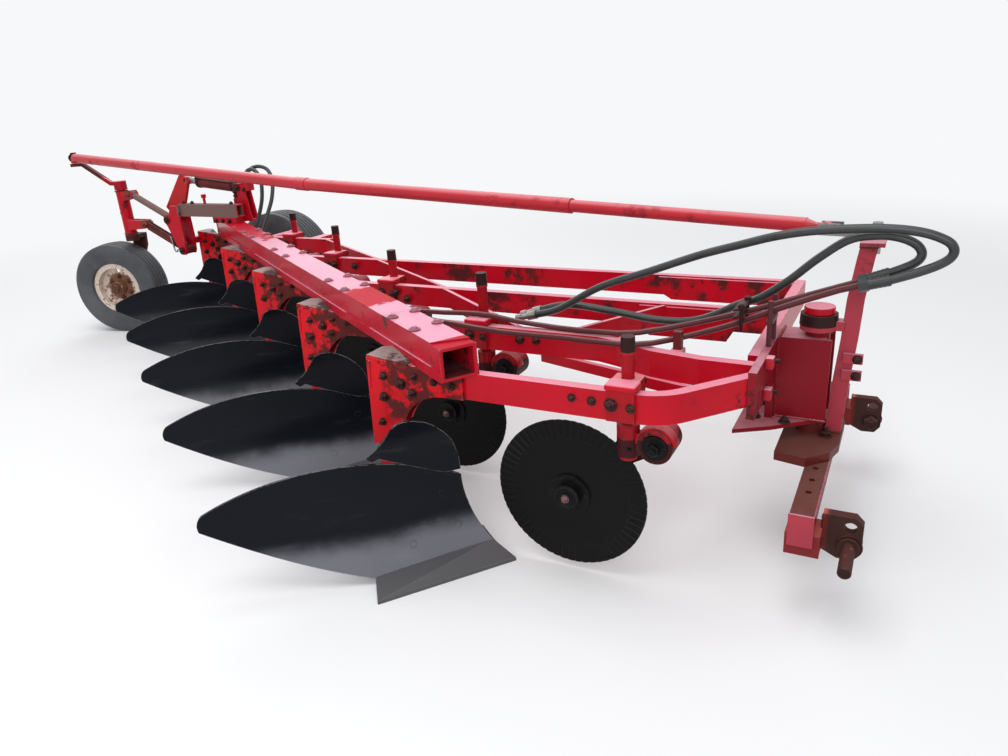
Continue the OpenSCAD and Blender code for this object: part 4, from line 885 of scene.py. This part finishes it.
# Tail wheel: an implement tyre with four grooves round its crown, worn smooth and bleached
# blue-grey, on a cream rim with rusty nuts round its hub.
def tyre(name, body, node, place, turn, radius, width, rim, grooves):
    """Spins a tyre's outline about its axle: crown with grooves, shoulders, walls and beads."""
    half, steps = width / 2 - 0.001, 8
    crown, middle = half * 0.66, (rim + radius) / 2
    tread = []
    for i in range(grooves):
        s = crown * (2 * (i + 0.5) / grooves - 1)
        drop = 0.012 * (s / half) ** 2
        for ds, deep in ((-0.0055, 0.0), (-0.0035, 0.007), (0.0035, 0.007), (0.0055, 0.0)):
            tread.append((radius - 0.0005 - drop - deep, s + ds))
    wall = []
    for i in range(steps + 1):
        a = radians(64 - i * 122 / steps)
        wall.append((middle + (radius - middle - 0.003) * sin(a) * (1.06 if a > 0 else 1.0),
                     half * (0.70 + 0.30 * cos(a) ** 0.7)))
    wall.insert(4, (wall[3][0] - 0.004, wall[3][1] + 0.0022))
    wall += [(rim + 0.0045, half * 0.74), (rim + 0.0045, half * 0.60), (rim + 0.010, half * 0.50)]
    wall = [(r, min(s, half)) for r, s in wall]
    outline = [(r, -s) for r, s in reversed(wall)] + tread + wall
    casing = bmesh.new()
    ring = [casing.verts.new((r, s, 0)) for r, s in outline]
    for a, b in zip(ring, ring[1:] + ring[:1]):
        casing.edges.new((a, b))
    bmesh.ops.spin(casing, geom=[*casing.verts, *casing.edges], cent=(0, 0, 0),
                   axis=(0, 1, 0), angle=2 * pi, steps=96, use_merge=True)
    bmesh.ops.remove_doubles(casing, verts=casing.verts, dist=0.0001)
    bmesh.ops.transform(casing, verts=casing.verts, matrix=Matrix.Translation(place)
                        @ Matrix.Rotation(turn, 4, "Z"))
    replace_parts(made(name, casing, body, worn_rubber), node)


worn = Finish("worn_tyre")
pores = worn.noise(90, 6)
bleach = worn.noise(5, 6, rough=0.6)
worn.give(
    Base_Color=worn.mix((bleach * 0.9 + pores * 0.2).ramp(0.28, 0.85),
                        (0.030, 0.032, 0.037), (0.088, 0.092, 0.102)),
    Roughness=bleach * 0.2 + 0.5, Normal=worn.bump(0.25, 0.001, pores, bleach * 0.5))
worn_rubber = worn.material
tail_axle, tail_turn = Vector((-2.3704, 0.6752, 0.322)), radians(17.5)
tyre("tail_tyre_ribbed", "tail_wheel", "tail_tyre", tail_axle, tail_turn, 0.322, 0.190, 0.176, 4)


def cream_finish():
    """Cream paint on a rim: rust flecks all over, more and browner towards the hub."""
    paint = Finish("rim_cream")
    clouds = paint.noise(6, 5)
    flecks = paint.noise(38, 7, rough=0.72)
    near = paint.node("ShaderNodeVectorMath", {"operation": "DISTANCE"}, {
        0: paint.place(), 1: tuple(tail_axle)}, out="Value")
    rusty = (flecks + clouds * 0.22 + (1 - near.ramp(0.06, 0.13)) * 0.30).ramp(0.66, 0.74)
    paint.give(
        Base_Color=paint.mix(rusty, paint.mix(clouds, (0.52, 0.40, 0.31), (0.80, 0.70, 0.62)),
                             paint.mix(flecks, (0.11, 0.045, 0.026), (0.28, 0.12, 0.06))),
        Roughness=rusty * 0.3 + 0.45, Normal=paint.bump(0.3, 0.0012, rusty * -0.6, flecks * 0.3))
    return paint.material


dress(cream_finish(), "tail_rim")
rust_brown = worn_enamel("rust_brown", (0.11, 0.045, 0.030), (0.26, 0.14, 0.10),
                         (0.05, 0.022, 0.014), 0.5, 0.0)


def wheel_metal(name, body, place, turn, outward, face, hub, count, circle):
    """Hub cap, wheel nuts and valve of a wheel, drawn about its axle and then set in place."""
    steel = bmesh.new()
    towards = (0, outward, 0)
    for i in range(count):
        a = 2 * pi * (i + 0.5) / count
        bolt(steel, (circle * cos(a), outward * face, circle * sin(a)), towards, 0.024, 0.008)
    reach, radius = hub
    for proud, across, high, sides, top in (
            (0.0, radius, 0.006, 32, radius * 0.94),
            (0.006, radius * 0.66, 0.012, 32, radius * 0.58), (0.018, 0.006, 0.006, 6, 0.006)):
        disc(steel, (0, outward * (reach + proud), 0), towards, across, high, sides, top)
    disc(steel, (circle * 1.75, outward * face, 0), towards, 0.0045, 0.026, 10, 0.0035)
    bmesh.ops.transform(steel, verts=steel.verts, matrix=Matrix.Translation(place)
                        @ Matrix.Rotation(turn, 4, "Z"))
    made(name, steel, body, rust_brown)


wheel_metal("tail_wheel_nuts", "tail_wheel", tail_axle, tail_turn, -1, 0.017, (0.074, 0.044), 6,
            0.078)


# Land wheel: a wider and older implement tyre with five grooves, on a dull red pressed rim whose
# nuts face the unploughed land.
land_axle = from_standard(-2620, 2330, 385)
tyre("land_tyre_ribbed", "land_wheel", "land_tyre", land_axle, 0, 0.385, 0.230, 0.208, 5)
rim_red = worn_enamel("rim_red", (0.24, 0.02, 0.02), (0.45, 0.2, 0.2), (0.09, 0.045, 0.03),
                      0.4, 0.08)
dress(rim_red, "land_rim")
wheel_metal("land_wheel_nuts", "land_wheel", land_axle, 0, 1, 0.015, (0.072, 0.050), 8, 0.092)


# Steering pipe's ends: a tall nut on the clevis at the front, and at the rear a black lug with
# its bolt, which joins the pipe to the tail wheel's lever.
steel = bmesh.new()
disc(steel, from_standard(1420, 700, 1035), up, 0.024, 0.003, 28)
disc(steel, from_standard(1420, 700, 1038), up, 0.0185, 0.012, 6, 0.0165)
made("clevis_nut", steel, "pipe_clevis", bare.material)
steel = bmesh.new()
rear_eye = from_standard(-3656, 1550, 1240)
disc(steel, rear_eye + Vector((0, 0, 0.030)), up, 0.022, 0.006, 6, 0.020)
pipe_back = (rear_eye - from_standard(1420, 700, 1240)).normalized()
disc(steel, rear_eye + pipe_back * 0.004, pipe_back, 0.0345, 0.030, 28, 0.026)
made("pipe_rear_lug", steel, "pipe", cast_black)


# Rear lift: steel pins with washers at the links' ends, the collars and grease nipple of the
# tail wheel's kingpin, and the glands and oil ports of both cylinders. Tie rods hold the lift
# cylinder together.
def pin_end(steel, x, y, z, out, washer, pin, proud, tip):
    """A washer on a link's face, and the chamfered end of its pin standing out of it."""
    disc(steel, from_standard(x, y, z), out, washer, 0.004, 24)
    disc(steel, from_standard(x, y + out[1] * 4, z), out, pin, proud, 20, tip)


def oil_ports(steel, base, axis, places, rise, boss, nut):
    """Bosses on top of a cylinder, at places along it, with the unions screwed into them."""
    for along in places:
        foot = base + axis * along + Vector((0, 0, rise))
        disc(steel, foot, up, boss, 0.014, 16)
        disc(steel, foot + Vector((0, 0, 0.014)), up, boss - 0.0005, nut, 6)


steel = bmesh.new()
for x, z in ((-2980, 810), (-2890, 605)):
    for face, out in ((1646, right), (1750, left)):
        pin_end(steel, x, face, z, out, 0.024, 0.0135, 0.008, 0.012)
for x, z in ((-2412, 985), (-2412, 960), (-2330, 1000)):
    bolt(steel, from_standard(x, 1760, z), right, 0.020, 0.004)
for x in (-2530, -2470, -2410):
    bolt(steel, from_standard(x, 1670, 812), right, 0.022, 0.004)
for x in (-2840, -2760, -2400):
    bolt(steel, from_standard(x, 1700, 915), up, 0.022, 0.005)
pin_end(steel, -2385, 1754, 1011, right, 0.024, 0.013, 0.008, 0.012)
made("rear_pins", steel, "frame", bolt_black)

steel = bmesh.new()
for z, x in ((975, -3345), (770, -3255)):
    for face, out in ((1668, right), (1732, left)):
        pin_end(steel, x, face, z, out, 0.023, 0.013, 0.006, 0.011)
for z in (700, 994):
    disc(steel, from_standard(-3447, 1700, z), up, 0.0455, 0.006, 32)
disc(steel, from_standard(-3447, 1660, 850), right, 0.005, 0.010, 10, 0.004)
made("tail_head_pins", steel, "tail_head", rust_brown)

steel = bmesh.new()
base = from_standard(-2385, 1790, 1011)
axis = (from_standard(-2845, 1790, 1057) - base).normalized()
disc(steel, base + axis * 0.350, axis, 0.040, 0.020, 32)
disc(steel, base + axis * 0.366, axis, 0.034, 0.010, 8, 0.031)
disc(steel, base + axis * 0.040, axis, 0.0385, 0.022, 32)
oil_ports(steel, base, axis, (0.075, 0.330), 0.033, 0.013, 0.012)
for y in (-30, 30):
    rod_spot = base + Vector((0, y / 1000, 0.026))
    disc(steel, rod_spot + axis * 0.050, axis, 0.005, 0.300, 10)
    disc(steel, rod_spot + axis * 0.362, axis, 0.0095, 0.008, 6)
made("lift_cylinder_fittings", steel, "lift_barrel", bolt_black)

steel = bmesh.new()
base = from_standard(-1960, 2050, 500)
axis = (from_standard(-2300, 2050, 490) - base).normalized()
disc(steel, base + axis * 0.200, axis, 0.036, 0.018, 32)
disc(steel, base + axis * 0.040, axis, 0.0345, 0.018, 32)
oil_ports(steel, base, axis, (0.070, 0.180), 0.029, 0.012, 0.010)
made("land_cylinder_fittings", steel, "land_barrel", bolt_black)


# Lifting hook: a bare steel rod, bent by hand at its foot, that is left hanging on the lower
# link.
hook_line = [from_standard(x, 1674, z) for x, z in (
    (-3010, 695), (-3000, 660), (-2996, 620), (-2990, 596), (-2974, 590), (-2962, 604))]
hook = hose_along("hanging_hook", smooth_run(hook_line, 5), 0.0055, "lower_link")
hook.data.materials.append(bare.material)


# Land arm: the washer and chamfered end of the pin it swings on, and the four bolts that hold
# its bracket to the last bar.
steel = bmesh.new()
for x in (-2345, -2255):
    for z in (670, 615):
        bolt(steel, from_standard(x, 1864, z), left, 0.024, 0.006)
pin_end(steel, -2300, 2162, 640, left, 0.030, 0.014, 0.006, 0.012)
made("land_bracket_bolts", steel, "frame", bolt_black)
